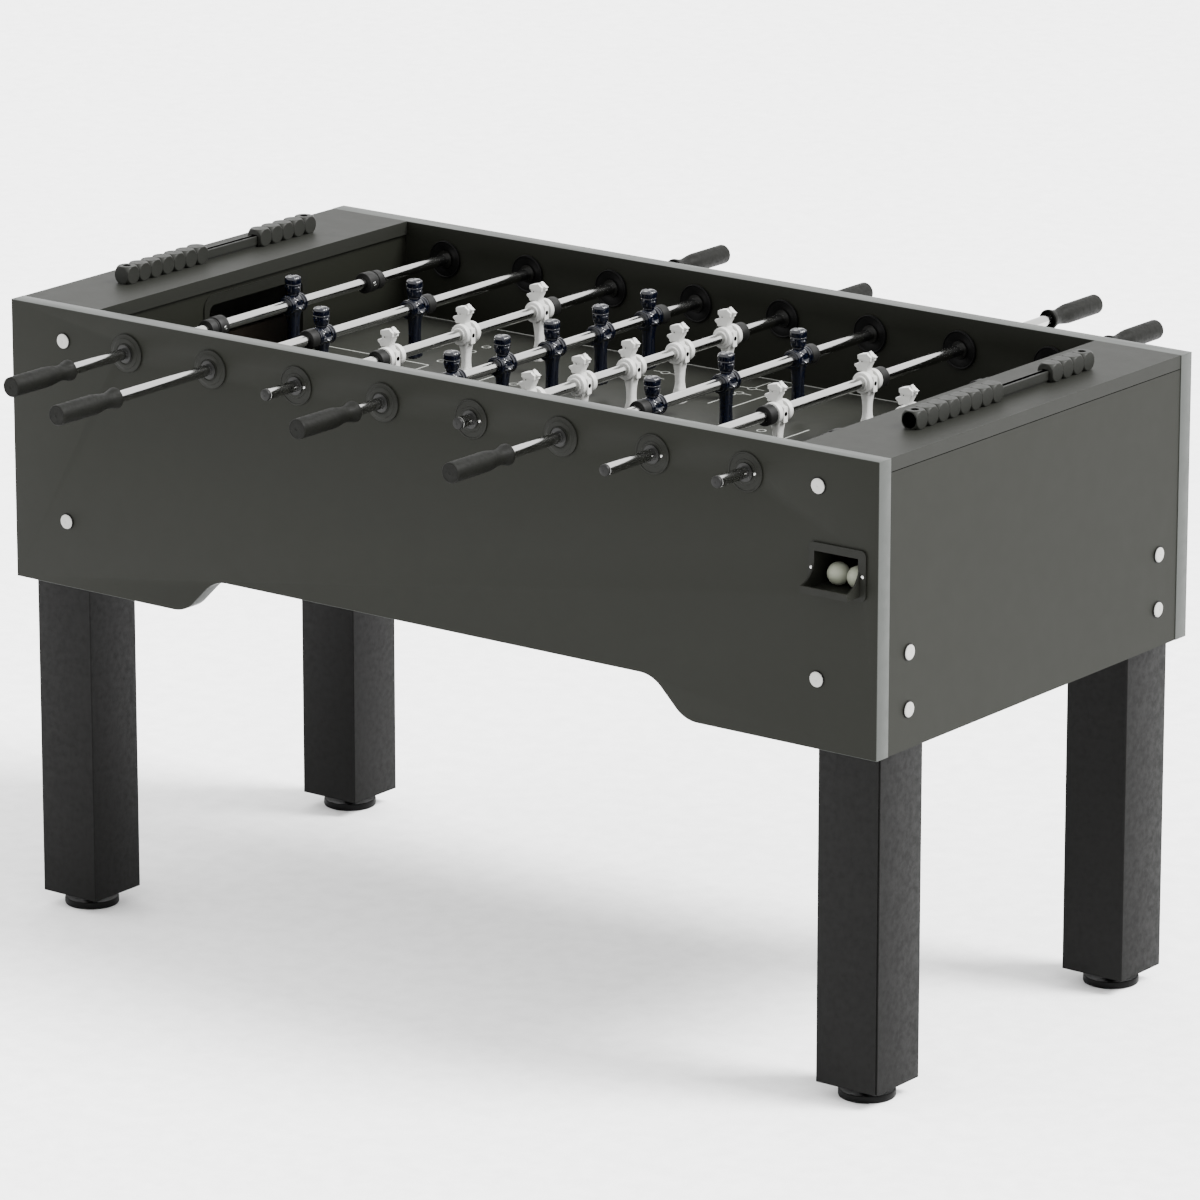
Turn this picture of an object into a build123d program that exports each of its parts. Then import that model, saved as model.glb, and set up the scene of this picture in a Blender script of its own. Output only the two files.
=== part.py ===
"""Foosball table: cabinet on four legs, eight sliding and spinning rods, ball return and score counters.

Frame: millimetres, X along the playfield, Y across it (the near side is -Y), Z up.
The origin is on the floor, under the middle of the table.
"""
from build123d import *
import os

os.makedirs("parts", exist_ok=True)

# ---- cabinet ---------------------------------------------------------------------------
LENGTH = 1470.0
WIDTH = 732.0
HEIGHT = 886.0
SIDE_THICK = 26.0
SIDE_BOTTOM = 487.5
ARCH_RISE = 53.0
ARCH_HALF_TOP = 374.5
ARCH_ROUND = 50.0
INNER_HALF_Y = WIDTH / 2 - SIDE_THICK

TOP_THICK = 19.0
TOP_INNER_X = 596.0
END_INSET = 1.0
END_OUTER_X = LENGTH / 2 - END_INSET
END_THICK = 12.0
END_INNER_X = END_OUTER_X - END_THICK
END_TOP = HEIGHT - TOP_THICK

FIELD_Z = 750.0
FIELD_THICK = 15.0
FIELD_BOTTOM = FIELD_Z - FIELD_THICK
PLAY_HALF_X = 600.0
WALL_THICK = 18.0
FIELD_HALF_X = PLAY_HALF_X + WALL_THICK

GOAL_HALF = 103.0
GOAL_TOP = 845.0
GOAL_ROUND = 12.0
GOAL_LINER = 3.0
GOAL_RIM_SIDE = 11.0
GOAL_RIM_TOP = 15.0
GOAL_RIM_OUT = 2.0
GOAL_RIM_ROUND = 20.0

BATTEN = 20.0
BATTEN_DEEP = 30.0
CORNER_BLOCK = 40.0
BOARD_GAP = 1.0

# ---- legs and feet ---------------------------------------------------------------------
LEG = 97.5
LEG_BOTTOM = 21.5
LEG_TOP = 640.0
LEG_X = END_INNER_X - LEG / 2
LEG_Y = INNER_HALF_Y - LEG / 2
FOOT_R = 38.5
FOOT_RIM = 10.0
FOOT_RIM_WIDE = 3.5
FOOT_DISH_R = 14.0
FOOT_DISH_Z = 6.0
FOOT_HUB_R = 9.0
FOOT_HUB_Z = 13.0
STUD_R = 5.0
STUD_TOP = 80.0
STUD_HOLE_TOP = 85.0
FIT_GAP = 0.05

# ---- rods and their bearings -----------------------------------------------------------
ROD_PITCH = 150.0
ROD_DROP = 46.0
ROD_Z = HEIGHT - ROD_DROP
ROD_R = 8.0
ROD_BORE_R = 5.5
SLEEVE_R = 11.0
SLEEVE_LIP_R = 12.5
SLEEVE_LIP = 1.5
LIP_GAP = 0.3
HOUSING_R = 14.0
FLANGE_R = 27.0
FLANGE_STEP_R = 20.0
HANDLE_FLANGE = 4.5
STUB_FLANGE = 2.0
FLANGE_SHARE = 0.75
FLANGE_CHAMFER = 0.5
DISH_RIM = 4.0
DISH_HUB = 1.5
HALF_GAP = 0.2

MAN_HALF = 17.5
MAN_REACH = 72.0
MAN_ROUND = 4.0
HUB_R = {True: 13.0, False: 15.0}
RING_R = 14.0
RING_LENGTH = 16.0
CLAMP_START = 156.5
CLAMP_BODY = 18.0
CLAMP_BODY_R = 15.0
CLAMP_NOSE = 17.0
CLAMP_NOSE_R = 13.7
PLUG_HEAD = 5.0
PLUG_STEM = 12.0

GRIP_LENGTH = 120.0
GRIP_R = 14.0
GRIP_LIP_R = 14.5
GRIP_LIP = 3.0
GRIP_MOUTH_R = 12.0
GRIP_WAIST_R = 10.8
GRIP_WAIST = 20.0
GRIP_SWELL = 48.0
GRIP_BORE = 100.0
GRIP_CHAMFER = 1.0

# By men on the rod: spacing, grip face and plain end, each from the middle of the rod's men.
MAN_PITCH = {1: 0.0, 2: 207.0, 3: 167.0, 5: 111.0}
GRIP_FACE = {1: 479.0, 2: 540.0, 3: 483.0, 5: 433.0}
STUB_TIP = {1: 434.0, 2: 488.0, 3: 437.5, 5: 384.0}

# A player below the rod: height from the rod's axis, and size along and across the field.
MAN_SECTIONS = ((-8, 16, 20), (-35, 11, 16), (-52, 12, 18), (-64, 17, 24), (-MAN_REACH, 14, 24))

# Heads: the dark one is turned about Z, the light one is a profile facing +X.
DARK_HEAD = ((0, 10), (8, 10), (8, 16), (12.3, 22), (12.3, 36), (9, 42), (0, 42))
WHITE_HEAD = ((9, 12), (22, 19), (16, 25), (17, 38), (-7, 42), (-17, 35), (-9.5, 24), (-9, 12))
WHITE_HEAD_WIDE = 18.0

# The eight rods from -X to +X: men, dark team, side of the handle (-1 near), slide at rest.
RODS = [
    (1, True, -1, -7.0),
    (2, True, -1, -24.5),
    (3, False, 1, 5.0),
    (5, True, -1, 5.0),
    (5, False, 1, -12.6),
    (3, True, -1, 0.6),
    (2, False, 1, 16.0),
    (1, False, 1, 2.0),
]

# ---- score counters --------------------------------------------------------------------
BEAD = 25.0
BEAD_GAP = 0.3
BEAD_ROUND_R = 17.2
END_BLOCK_ROUND = 2.0
COUNTER_X = 670.0
COUNTER_HALF = 195.0
BEADS_PER_SIDE = 10
RAIL_WIDTH = 12.0
RAIL_NECK = 8.0
RAIL_NECK_HIGH = 4.0
RAIL_HIGH = 16.0
RAIL_GROOVE = 3.0
LEFT_BEADS_NEAR = 6
RIGHT_BEADS_NEAR = 7

# ---- ball return -----------------------------------------------------------------------
CUP_X = 670.5
CUP_HALF = 34.5
CUP_WALL = 2.5
CUP_TOP = 754.0
CUP_FLOOR = 706.0
CUP_PLATE = 3.0
CUP_PLATE_X = 672.0
CUP_PLATE_HALF = 45.0
CUP_PLATE_ROUND = 8.0
CUP_PLATE_LOW = 698.0
CUP_PLATE_HIGH = 765.5
CUP_LIP_Y = 397.0
CUP_LIP_Z = 713.0
CUP_CHEEK_Z = 750.0
CUP_BACK_Y = 322.0
CUT_PAST = 1.0
BALL_R = 15.5
BALL_Y = 344.0
BALL_PAIR_X = (657.5, 689.0)
RUN_INNER_X = 619.0
RUN_OUTER_X = 707.0
RUN_WALL = 6.0
RUN_HIGH_END = 118.0
RUN_LOW_END = 321.0
RUN_HIGH_Z = 733.0
RUN_LOW_Z = 708.0
RUN_INNER_TOP = 745.0
RUN_OUTER_TOP = 760.0

# ---- bolts -----------------------------------------------------------------------------
BOLT_HEAD_R = 11.0
BOLT_HEAD = 3.0
BOLT_R = 4.0
PANEL_BOLT_X = 640.0
PANEL_BOLT_Z = (ROD_Z, 581.7)
END_BOLT_Y = 294.6
END_BOLT_Z = (618.0, 541.0)
BOLT_REACH = 40.0


def save(builder, name):
    """Label the finished piece and write it as one STEP file."""
    builder.part.label = name
    export_step(builder.part, f"parts/{name}.step")


def rod_x(number):
    """X of a rod, numbered from 1 at the -X end."""
    return ROD_PITCH * (number - 1 - (len(RODS) - 1) / 2)


def man_places(men):
    """Y of each man on a rod, from the middle of the rod's men."""
    return [MAN_PITCH[men] * (index - (men - 1) / 2) for index in range(men)]


# ---- side panels: full-length boards with an arched lower edge ---------------------------
def side_panel(side):
    """One long panel: -1 is the near one, +1 the far one."""
    inner_plane = Plane.XZ.offset(-side * INNER_HALF_Y)
    with BuildPart() as panel:
        with BuildSketch(inner_plane):
            with BuildLine():
                half = LENGTH / 2
                arch_top = SIDE_BOTTOM + ARCH_RISE
                arch_foot = ARCH_HALF_TOP + ARCH_RISE
                FilletPolyline(
                    (-arch_foot - ARCH_ROUND, SIDE_BOTTOM),
                    (-arch_foot, SIDE_BOTTOM),
                    (-ARCH_HALF_TOP, arch_top),
                    (ARCH_HALF_TOP, arch_top),
                    (arch_foot, SIDE_BOTTOM),
                    (arch_foot + ARCH_ROUND, SIDE_BOTTOM),
                    radius=ARCH_ROUND,
                )
                Polyline(
                    (arch_foot + ARCH_ROUND, SIDE_BOTTOM),
                    (half, SIDE_BOTTOM),
                    (half, HEIGHT),
                    (-half, HEIGHT),
                    (-half, SIDE_BOTTOM),
                    (-arch_foot - ARCH_ROUND, SIDE_BOTTOM),
                )
            make_face()
            rod_spots = [(rod_x(number), ROD_Z) for number in range(1, len(RODS) + 1)]
            with Locations(*rod_spots):
                Circle(HOUSING_R + HALF_GAP, mode=Mode.SUBTRACT)
            bolt_spots = [(x, z) for x in (-PANEL_BOLT_X, PANEL_BOLT_X) for z in PANEL_BOLT_Z]
            with Locations(*bolt_spots):
                Circle(BOLT_R + FIT_GAP, mode=Mode.SUBTRACT)
            cup_middle = (CUP_TOP + CUP_FLOOR) / 2
            cup_size = (2 * (CUP_HALF + CUP_WALL + HALF_GAP), CUP_TOP - CUP_FLOOR + 4 * CUP_WALL)
            with Locations((-side * CUP_X, cup_middle)):
                Rectangle(*cup_size, mode=Mode.SUBTRACT)
        extrude(amount=-side * SIDE_THICK)
    return panel


for panel_side, panel_name in ((-1, "side_panel_front"), (1, "side_panel_rear")):
    save(side_panel(panel_side), panel_name)

# ---- end panels, one at each end between the side panels --------------------------------
with BuildPart() as end_panels:
    for end in (-1, 1):
        with BuildSketch(Plane.YZ.offset(end * END_INNER_X)):
            with Locations((0, (SIDE_BOTTOM + END_TOP) / 2)):
                Rectangle(2 * INNER_HALF_Y, END_TOP - SIDE_BOTTOM)
            with Locations(*[(y, z) for y in (-END_BOLT_Y, END_BOLT_Y) for z in END_BOLT_Z]):
                Circle(BOLT_R + FIT_GAP, mode=Mode.SUBTRACT)
        extrude(amount=end * END_THICK)
save(end_panels, "end_panels")

# ---- top boards that cover the ends and carry the counters ------------------------------
with BuildPart() as top_boards:
    for end in (-1, 1):
        board_middle = end * (TOP_INNER_X + END_OUTER_X) / 2
        with BuildSketch(Plane.XY.offset(END_TOP)):
            with Locations((board_middle, 0)):
                Rectangle(END_OUTER_X - TOP_INNER_X, 2 * INNER_HALF_Y)
            with Locations((end * COUNTER_X, -COUNTER_HALF), (end * COUNTER_X, COUNTER_HALF)):
                Circle(BOLT_R / 2, mode=Mode.SUBTRACT)
        extrude(amount=TOP_THICK)
save(top_boards, "top_boards")


# ---- goal walls with their mouths, and the plastic rims that line the mouths -------------
def goal_arch(half, top, radius):
    """Sketch of a goal mouth: square at the field, rounded at the top corners."""
    with Locations((0, (FIELD_Z + top) / 2)):
        mouth = Rectangle(2 * half, top - FIELD_Z)
    fillet(mouth.vertices().group_by(Axis.Y)[-1], radius)


with BuildPart() as goal_walls:
    for end in (-1, 1):
        with BuildSketch(Plane.YZ.offset(end * PLAY_HALF_X)):
            with Locations((0, (FIELD_Z + END_TOP) / 2)):
                Rectangle(2 * INNER_HALF_Y, END_TOP - FIELD_Z)
            mouth_half = GOAL_HALF + GOAL_LINER + HALF_GAP
            mouth_top = GOAL_TOP + GOAL_LINER + HALF_GAP
            with Locations((0, (FIELD_Z + mouth_top) / 2)):
                Rectangle(2 * mouth_half, mouth_top - FIELD_Z, mode=Mode.SUBTRACT)
        extrude(amount=end * WALL_THICK)
save(goal_walls, "goal_walls")

with BuildPart() as goal_rims:
    for end in (-1, 1):
        with BuildSketch(Plane.YZ.offset(end * PLAY_HALF_X)):
            goal_arch(GOAL_HALF + GOAL_RIM_SIDE, GOAL_TOP + GOAL_RIM_TOP, GOAL_RIM_ROUND)
        extrude(amount=-end * GOAL_RIM_OUT)
        with BuildSketch(Plane.YZ.offset(end * PLAY_HALF_X)):
            with Locations((0, (FIELD_Z + GOAL_TOP + GOAL_LINER) / 2)):
                Rectangle(2 * (GOAL_HALF + GOAL_LINER), GOAL_TOP + GOAL_LINER - FIELD_Z)
        extrude(amount=end * WALL_THICK)
        with BuildSketch(Plane.YZ.offset(end * (PLAY_HALF_X - GOAL_RIM_OUT))):
            with Locations((0, (FIELD_Z + GOAL_TOP) / 2)):
                RectangleRounded(2 * GOAL_HALF, GOAL_TOP - FIELD_Z, GOAL_ROUND)
            with Locations((0, FIELD_Z + GOAL_ROUND / 2)):
                Rectangle(2 * GOAL_HALF, GOAL_ROUND)
        extrude(amount=end * (WALL_THICK + GOAL_RIM_OUT), mode=Mode.SUBTRACT)
save(goal_rims, "goal_rims")

# ---- playfield board ---------------------------------------------------------------------
with BuildPart() as playfield:
    with BuildSketch(Plane.XY.offset(FIELD_BOTTOM)):
        Rectangle(2 * FIELD_HALF_X, 2 * INNER_HALF_Y)
    extrude(amount=FIELD_THICK)
save(playfield, "playfield")

# ---- ball runs: sloping troughs that take a ball from a goal to the cup -------------------
with BuildPart() as run:
    run_faces = (
        (RUN_INNER_X, RUN_OUTER_X, RUN_LOW_Z, RUN_HIGH_Z),
        (RUN_INNER_X, RUN_INNER_X + RUN_WALL, RUN_INNER_TOP, RUN_INNER_TOP),
        (RUN_OUTER_X - RUN_WALL, RUN_OUTER_X, RUN_OUTER_TOP, RUN_OUTER_TOP),
    )
    for x_low, x_high, low_end_top, high_end_top in run_faces:
        with BuildSketch(Plane.YZ.offset(x_low)):
            with BuildLine():
                Polyline(
                    (RUN_HIGH_END, RUN_HIGH_Z - RUN_WALL),
                    (-RUN_LOW_END, RUN_LOW_Z - RUN_WALL),
                    (-RUN_LOW_END, low_end_top),
                    (RUN_HIGH_END, high_end_top),
                    close=True,
                )
            make_face()
        extrude(amount=x_high - x_low)

# ---- inner frame: battens under the field, corner blocks and the two ball runs -----------
with BuildPart() as inner_frame:
    with BuildSketch(Plane.XY.offset(FIELD_BOTTOM - BATTEN_DEEP)):
        for side in (-1, 1):
            with Locations((0, side * (INNER_HALF_Y - BATTEN / 2))):
                Rectangle(2 * PLAY_HALF_X, BATTEN)
    extrude(amount=BATTEN_DEEP)
    with BuildSketch(Plane.XY.offset(FIELD_BOTTOM - BATTEN_DEEP)):
        for x in (-PLAY_HALF_X + BATTEN / 2, 0, PLAY_HALF_X - BATTEN / 2):
            with Locations((x, 0)):
                Rectangle(BATTEN, 2 * (INNER_HALF_Y - BATTEN - BOARD_GAP))
    extrude(amount=BATTEN_DEEP)
    # Blocks in the four top corners, which the upper side bolts screw into.
    with BuildSketch(Plane.XY.offset(END_TOP - CORNER_BLOCK)):
        with GridLocations(2 * PANEL_BOLT_X, 2 * INNER_HALF_Y - CORNER_BLOCK, 2, 2):
            Rectangle(CORNER_BLOCK - BOARD_GAP, CORNER_BLOCK)
    extrude(amount=CORNER_BLOCK)
    for side in (-1, 1):
        with BuildSketch(Plane.XZ.offset(-side * INNER_HALF_Y)):
            with Locations((-PANEL_BOLT_X, ROD_Z), (PANEL_BOLT_X, ROD_Z)):
                Circle(BOLT_R + FIT_GAP)
        extrude(amount=side * (BOLT_REACH - SIDE_THICK + FIT_GAP), mode=Mode.SUBTRACT)
    with PolarLocations(0, 2):
        add(run.part)
save(inner_frame, "inner_frame")

# ---- ball cups: a face plate, a tray through the panel and a scoop in front ---------------
with BuildPart() as cup:
    face_y = -WIDTH / 2
    with BuildSketch(Plane.XZ.offset(-face_y)):
        with Locations((CUP_PLATE_X, (CUP_PLATE_LOW + CUP_PLATE_HIGH) / 2)):
            RectangleRounded(2 * CUP_PLATE_HALF, CUP_PLATE_HIGH - CUP_PLATE_LOW, CUP_PLATE_ROUND)
    extrude(amount=CUP_PLATE)
    with BuildSketch(Plane.XZ.offset(-face_y)):
        with Locations((CUP_X, (CUP_TOP + CUP_FLOOR) / 2)):
            Rectangle(2 * (CUP_HALF + CUP_WALL), CUP_TOP - CUP_FLOOR + 2 * CUP_WALL)
    extrude(amount=face_y + CUP_BACK_Y)
    with BuildSketch(Plane.YZ.offset(CUP_X - CUP_HALF - CUP_WALL)):
        with BuildLine():
            Polyline(
                (face_y - CUP_PLATE, CUP_CHEEK_Z),
                (face_y, CUP_CHEEK_Z),
                (face_y, CUP_FLOOR - CUP_WALL),
                (-CUP_LIP_Y, CUP_FLOOR - CUP_WALL),
                (-CUP_LIP_Y, CUP_LIP_Z),
            )
            RadiusArc((-CUP_LIP_Y, CUP_LIP_Z), (face_y - CUP_PLATE, CUP_CHEEK_Z), -2 * BALL_R)
        make_face()
    extrude(amount=2 * (CUP_HALF + CUP_WALL))
    with BuildSketch(Plane.YZ.offset(CUP_X - CUP_HALF)):
        with BuildLine():
            Polyline(
                (-CUP_BACK_Y + CUT_PAST, CUP_FLOOR),
                (-CUP_LIP_Y + 3 * CUP_WALL, CUP_FLOOR),
                (-CUP_LIP_Y + CUP_WALL, CUP_LIP_Z),
                (-CUP_LIP_Y + CUP_WALL, CUP_TOP),
                (-CUP_BACK_Y + CUT_PAST, CUP_TOP),
                close=True,
            )
        make_face()
    extrude(amount=2 * CUP_HALF, mode=Mode.SUBTRACT)

with BuildPart() as ball_cups:
    with PolarLocations(0, 2):
        add(cup.part)
save(ball_cups, "ball_cups")

with BuildPart() as balls:
    for ball_x in BALL_PAIR_X:
        with Locations((ball_x, -BALL_Y, CUP_FLOOR + BALL_R)):
            Sphere(BALL_R)
save(balls, "balls")

# ---- legs, with a stud hole from below and bolt holes from the panels ---------------------
with BuildPart() as legs:
    with BuildSketch(Plane.XY.offset(LEG_BOTTOM)):
        with GridLocations(2 * LEG_X, 2 * LEG_Y, 2, 2):
            Rectangle(LEG, LEG)
            Circle(STUD_R + FIT_GAP, mode=Mode.SUBTRACT)
    extrude(amount=STUD_HOLE_TOP - LEG_BOTTOM)
    with BuildSketch(Plane.XY.offset(STUD_HOLE_TOP)):
        with GridLocations(2 * LEG_X, 2 * LEG_Y, 2, 2):
            Rectangle(LEG, LEG)
    extrude(amount=LEG_TOP - STUD_HOLE_TOP)
    for side in (-1, 1):
        with BuildSketch(Plane.XZ.offset(-side * INNER_HALF_Y)):
            with Locations(*[(x, PANEL_BOLT_Z[1]) for x in (-PANEL_BOLT_X, PANEL_BOLT_X)]):
                Circle(BOLT_R + FIT_GAP)
        extrude(amount=side * (BOLT_REACH - SIDE_THICK + FIT_GAP), mode=Mode.SUBTRACT)
        with BuildSketch(Plane.YZ.offset(side * END_INNER_X)):
            with Locations(*[(y, z) for y in (-END_BOLT_Y, END_BOLT_Y) for z in END_BOLT_Z]):
                Circle(BOLT_R + FIT_GAP)
        extrude(amount=-side * (BOLT_REACH - END_THICK + FIT_GAP), mode=Mode.SUBTRACT)
save(legs, "legs")

# ---- levelling feet: dished discs on studs that screw up into the legs --------------------
for end, end_name in ((-1, "left"), (1, "right")):
    for side, side_name in ((-1, "front"), (1, "rear")):
        foot_x = end * LEG_X
        foot_y = side * LEG_Y
        with BuildPart() as foot:
            with BuildSketch(Plane.XZ.offset(-foot_y)):
                with BuildLine():
                    Polyline(
                        (foot_x, STUD_TOP),
                        (foot_x, 0),
                        (foot_x + FOOT_R, 0),
                        (foot_x + FOOT_R, FOOT_RIM),
                        (foot_x + FOOT_R - FOOT_RIM_WIDE, FOOT_RIM),
                        (foot_x + FOOT_DISH_R, FOOT_DISH_Z),
                        (foot_x + FOOT_HUB_R, FOOT_DISH_Z),
                        (foot_x + FOOT_HUB_R, FOOT_HUB_Z),
                        (foot_x + STUD_R, FOOT_HUB_Z),
                        (foot_x + STUD_R, STUD_TOP),
                        close=True,
                    )
                make_face()
            revolve(axis=Axis((foot_x, foot_y, 0), (0, 0, 1)))
        save(foot, f"foot_{side_name}_{end_name}")

# ---- cabinet bolts: domed heads outside the panels, shanks into the legs and blocks -------
with BuildPart() as cabinet_bolts:
    for side in (-1, 1):
        outer_y = side * WIDTH / 2
        bolt_spots = [(x, z) for x in (-PANEL_BOLT_X, PANEL_BOLT_X) for z in PANEL_BOLT_Z]
        for radius, length in ((BOLT_HEAD_R, -side * BOLT_HEAD), (BOLT_R, side * BOLT_REACH)):
            with BuildSketch(Plane.XZ.offset(-outer_y)):
                with Locations(*bolt_spots):
                    Circle(radius)
            extrude(amount=length)
    for end in (-1, 1):
        end_spots = [(y, z) for y in (-END_BOLT_Y, END_BOLT_Y) for z in END_BOLT_Z]
        for radius, length in ((BOLT_HEAD_R, end * BOLT_HEAD), (BOLT_R, -end * BOLT_REACH)):
            with BuildSketch(Plane.YZ.offset(end * END_OUTER_X)):
                with Locations(*end_spots):
                    Circle(radius)
            extrude(amount=length)
save(cabinet_bolts, "cabinet_bolts")


# ---- score counters: a T rail, two end blocks and ten beads at each end -------------------
def bead_outline():
    """Section of a bead across the rail: a square with a T slot open below."""
    with Locations((0, HEIGHT + BEAD / 2)):
        Rectangle(BEAD, BEAD)
    with Locations((0, HEIGHT + RAIL_NECK_HIGH / 2)):
        Rectangle(RAIL_NECK + 2 * BEAD_GAP, RAIL_NECK_HIGH, mode=Mode.SUBTRACT)
    slot_low = HEIGHT + RAIL_NECK_HIGH - BEAD_GAP
    slot_high = HEIGHT + RAIL_HIGH + BEAD_GAP
    with Locations((0, (slot_low + slot_high) / 2)):
        Rectangle(RAIL_WIDTH + 2 * BEAD_GAP, slot_high - slot_low, mode=Mode.SUBTRACT)


with BuildPart() as bead:
    with BuildSketch(Plane.XZ.offset(-BEAD / 2 + BEAD_GAP / 2)):
        bead_outline()
    extrude(amount=BEAD - BEAD_GAP)
    with Locations((0, 0, HEIGHT + BEAD / 2)):
        Sphere(BEAD_ROUND_R, mode=Mode.INTERSECT)
    split(bisect_by=Plane.XY.offset(HEIGHT + BEAD_GAP), keep=Keep.TOP)

with BuildPart() as end_block:
    with BuildSketch(Plane.XY.offset(HEIGHT)):
        Rectangle(BEAD, BEAD)
    extrude(amount=BEAD)
    fillet(end_block.edges().filter_by(Axis.Z), END_BLOCK_ROUND)

bead_spots = {}
for counter_end, near_count in ((-1, LEFT_BEADS_NEAR), (1, RIGHT_BEADS_NEAR)):
    near = [-COUNTER_HALF + BEAD * (index + 1) for index in range(near_count)]
    far_count = BEADS_PER_SIDE - near_count
    far = [COUNTER_HALF - BEAD * (index + 1) for index in range(far_count)]
    bead_spots[counter_end] = (near, far)

with BuildPart() as score_counters:
    rail_half = COUNTER_HALF - BEAD / 2 - BEAD_GAP
    with BuildSketch(Plane.XZ.offset(rail_half)):
        for counter_x in (-COUNTER_X, COUNTER_X):
            with Locations((counter_x, HEIGHT + RAIL_NECK_HIGH / 2)):
                Rectangle(RAIL_NECK, RAIL_NECK_HIGH)
            with Locations((counter_x, HEIGHT + (RAIL_NECK_HIGH + RAIL_HIGH) / 2)):
                Rectangle(RAIL_WIDTH, RAIL_HIGH - RAIL_NECK_HIGH)
            with Locations((counter_x, HEIGHT + RAIL_HIGH - RAIL_GROOVE / 2)):
                Rectangle(RAIL_GROOVE, RAIL_GROOVE, mode=Mode.SUBTRACT)
    extrude(amount=-2 * rail_half)
    for counter_end, (near, far) in bead_spots.items():
        for block_y in (-COUNTER_HALF, COUNTER_HALF):
            with Locations((counter_end * COUNTER_X, block_y, 0)):
                add(end_block.part)
        for bead_y in near[:-1] + far:
            with Locations((counter_end * COUNTER_X, bead_y, 0)):
                add(bead.part)
save(score_counters, "score_counters")

for counter_end, bead_name in ((-1, "score_bead_left"), (1, "score_bead_right")):
    with BuildPart() as moving_bead:
        with Locations((counter_end * COUNTER_X, bead_spots[counter_end][0][-1], 0)):
            add(bead.part)
    save(moving_bead, bead_name)


# ---- rods -------------------------------------------------------------------------------
def tube(x, y_from, y_to, outer_r, inner_r):
    """A tube along Y at rod height, or a solid bar with no inner radius."""
    with BuildPart() as piece:
        with BuildSketch(Plane.XZ.offset(-y_from)):
            with Locations((x, ROD_Z)):
                Circle(outer_r)
                if inner_r > 0:
                    Circle(inner_r, mode=Mode.SUBTRACT)
        extrude(amount=y_from - y_to)
    return piece


def turned(x, outline):
    """A solid turned about a rod, from its (radius, y) outline."""
    with BuildPart() as piece:
        with BuildSketch(Plane.XY.offset(ROD_Z)):
            with BuildLine():
                Polyline(*[(x + radius, y) for radius, y in outline], close=True)
            make_face()
        revolve(axis=Axis((x, 0, ROD_Z), (0, 1, 0)))
    return piece


def group(pieces):
    """Several separate pieces as one node."""
    with BuildPart() as together:
        for piece in pieces:
            add(piece.part)
    return together


def bearing_pair(x, side, thick):
    """The two halves of one bearing: outer flange with its housing tube, and inner dish."""
    bore = SLEEVE_R + FIT_GAP
    outer_y = WIDTH / 2
    outside = [
        (bore, INNER_HALF_Y + HALF_GAP),
        (HOUSING_R, INNER_HALF_Y + HALF_GAP),
        (HOUSING_R, outer_y),
        (FLANGE_R, outer_y),
        (FLANGE_R, outer_y + FLANGE_SHARE * thick - FLANGE_CHAMFER),
        (FLANGE_R - FLANGE_CHAMFER, outer_y + FLANGE_SHARE * thick),
        (FLANGE_STEP_R, outer_y + FLANGE_SHARE * thick),
        (FLANGE_STEP_R, outer_y + thick),
        (bore, outer_y + thick),
    ]
    inside = [
        (bore, INNER_HALF_Y),
        (FLANGE_R, INNER_HALF_Y),
        (FLANGE_R, INNER_HALF_Y - DISH_RIM),
        (FLANGE_R - DISH_HUB, INNER_HALF_Y - DISH_RIM),
        (HOUSING_R, INNER_HALF_Y - DISH_HUB),
        (bore, INNER_HALF_Y - DISH_HUB),
    ]
    return [turned(x, [(radius, side * y) for radius, y in half]) for half in (outside, inside)]


def sleeve(x, side, thick):
    """The sliding sleeve of one bearing, with a retaining lip at each end."""
    bore = ROD_R + FIT_GAP
    inner_face = INNER_HALF_Y - DISH_HUB - LIP_GAP - SLEEVE_LIP
    outer_face = WIDTH / 2 + thick + LIP_GAP + SLEEVE_LIP
    outline = [
        (bore, inner_face),
        (SLEEVE_LIP_R, inner_face),
        (SLEEVE_LIP_R, inner_face + SLEEVE_LIP),
        (SLEEVE_R, inner_face + SLEEVE_LIP),
        (SLEEVE_R, outer_face - SLEEVE_LIP),
        (SLEEVE_LIP_R, outer_face - SLEEVE_LIP),
        (SLEEVE_LIP_R, outer_face),
        (bore, outer_face),
    ]
    return turned(x, [(radius, side * y) for radius, y in outline])


def grip(x, face_y, side):
    """A handle: lipped mouth, narrow waist and a long plain barrel with a closed end."""
    with BuildPart() as piece:
        with BuildSketch(Plane.XY.offset(ROD_Z)):
            with BuildLine():
                lip = (x + GRIP_LIP_R, face_y + side * GRIP_LIP)
                waist = (x + GRIP_WAIST_R, face_y + side * GRIP_WAIST)
                swell = (x + GRIP_R, face_y + side * GRIP_SWELL)
                end_y = face_y + side * GRIP_LENGTH
                bore_y = face_y + side * GRIP_BORE
                bore_x = x + ROD_R + FIT_GAP
                Spline(lip, waist, swell, tangents=((0, side), (0, side)))
                Polyline(
                    swell,
                    (x + GRIP_R, end_y - side * GRIP_CHAMFER),
                    (x + GRIP_R - GRIP_CHAMFER, end_y),
                    (x, end_y),
                    (x, bore_y),
                    (bore_x, bore_y),
                    (bore_x, face_y + side * GRIP_LIP),
                    (x + GRIP_MOUTH_R, face_y + side * GRIP_LIP),
                    (x + GRIP_MOUTH_R, face_y),
                    (x + GRIP_LIP_R, face_y),
                    lip,
                )
            make_face()
        revolve(axis=Axis((x, 0, ROD_Z), (0, 1, 0)))
    return piece


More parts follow.
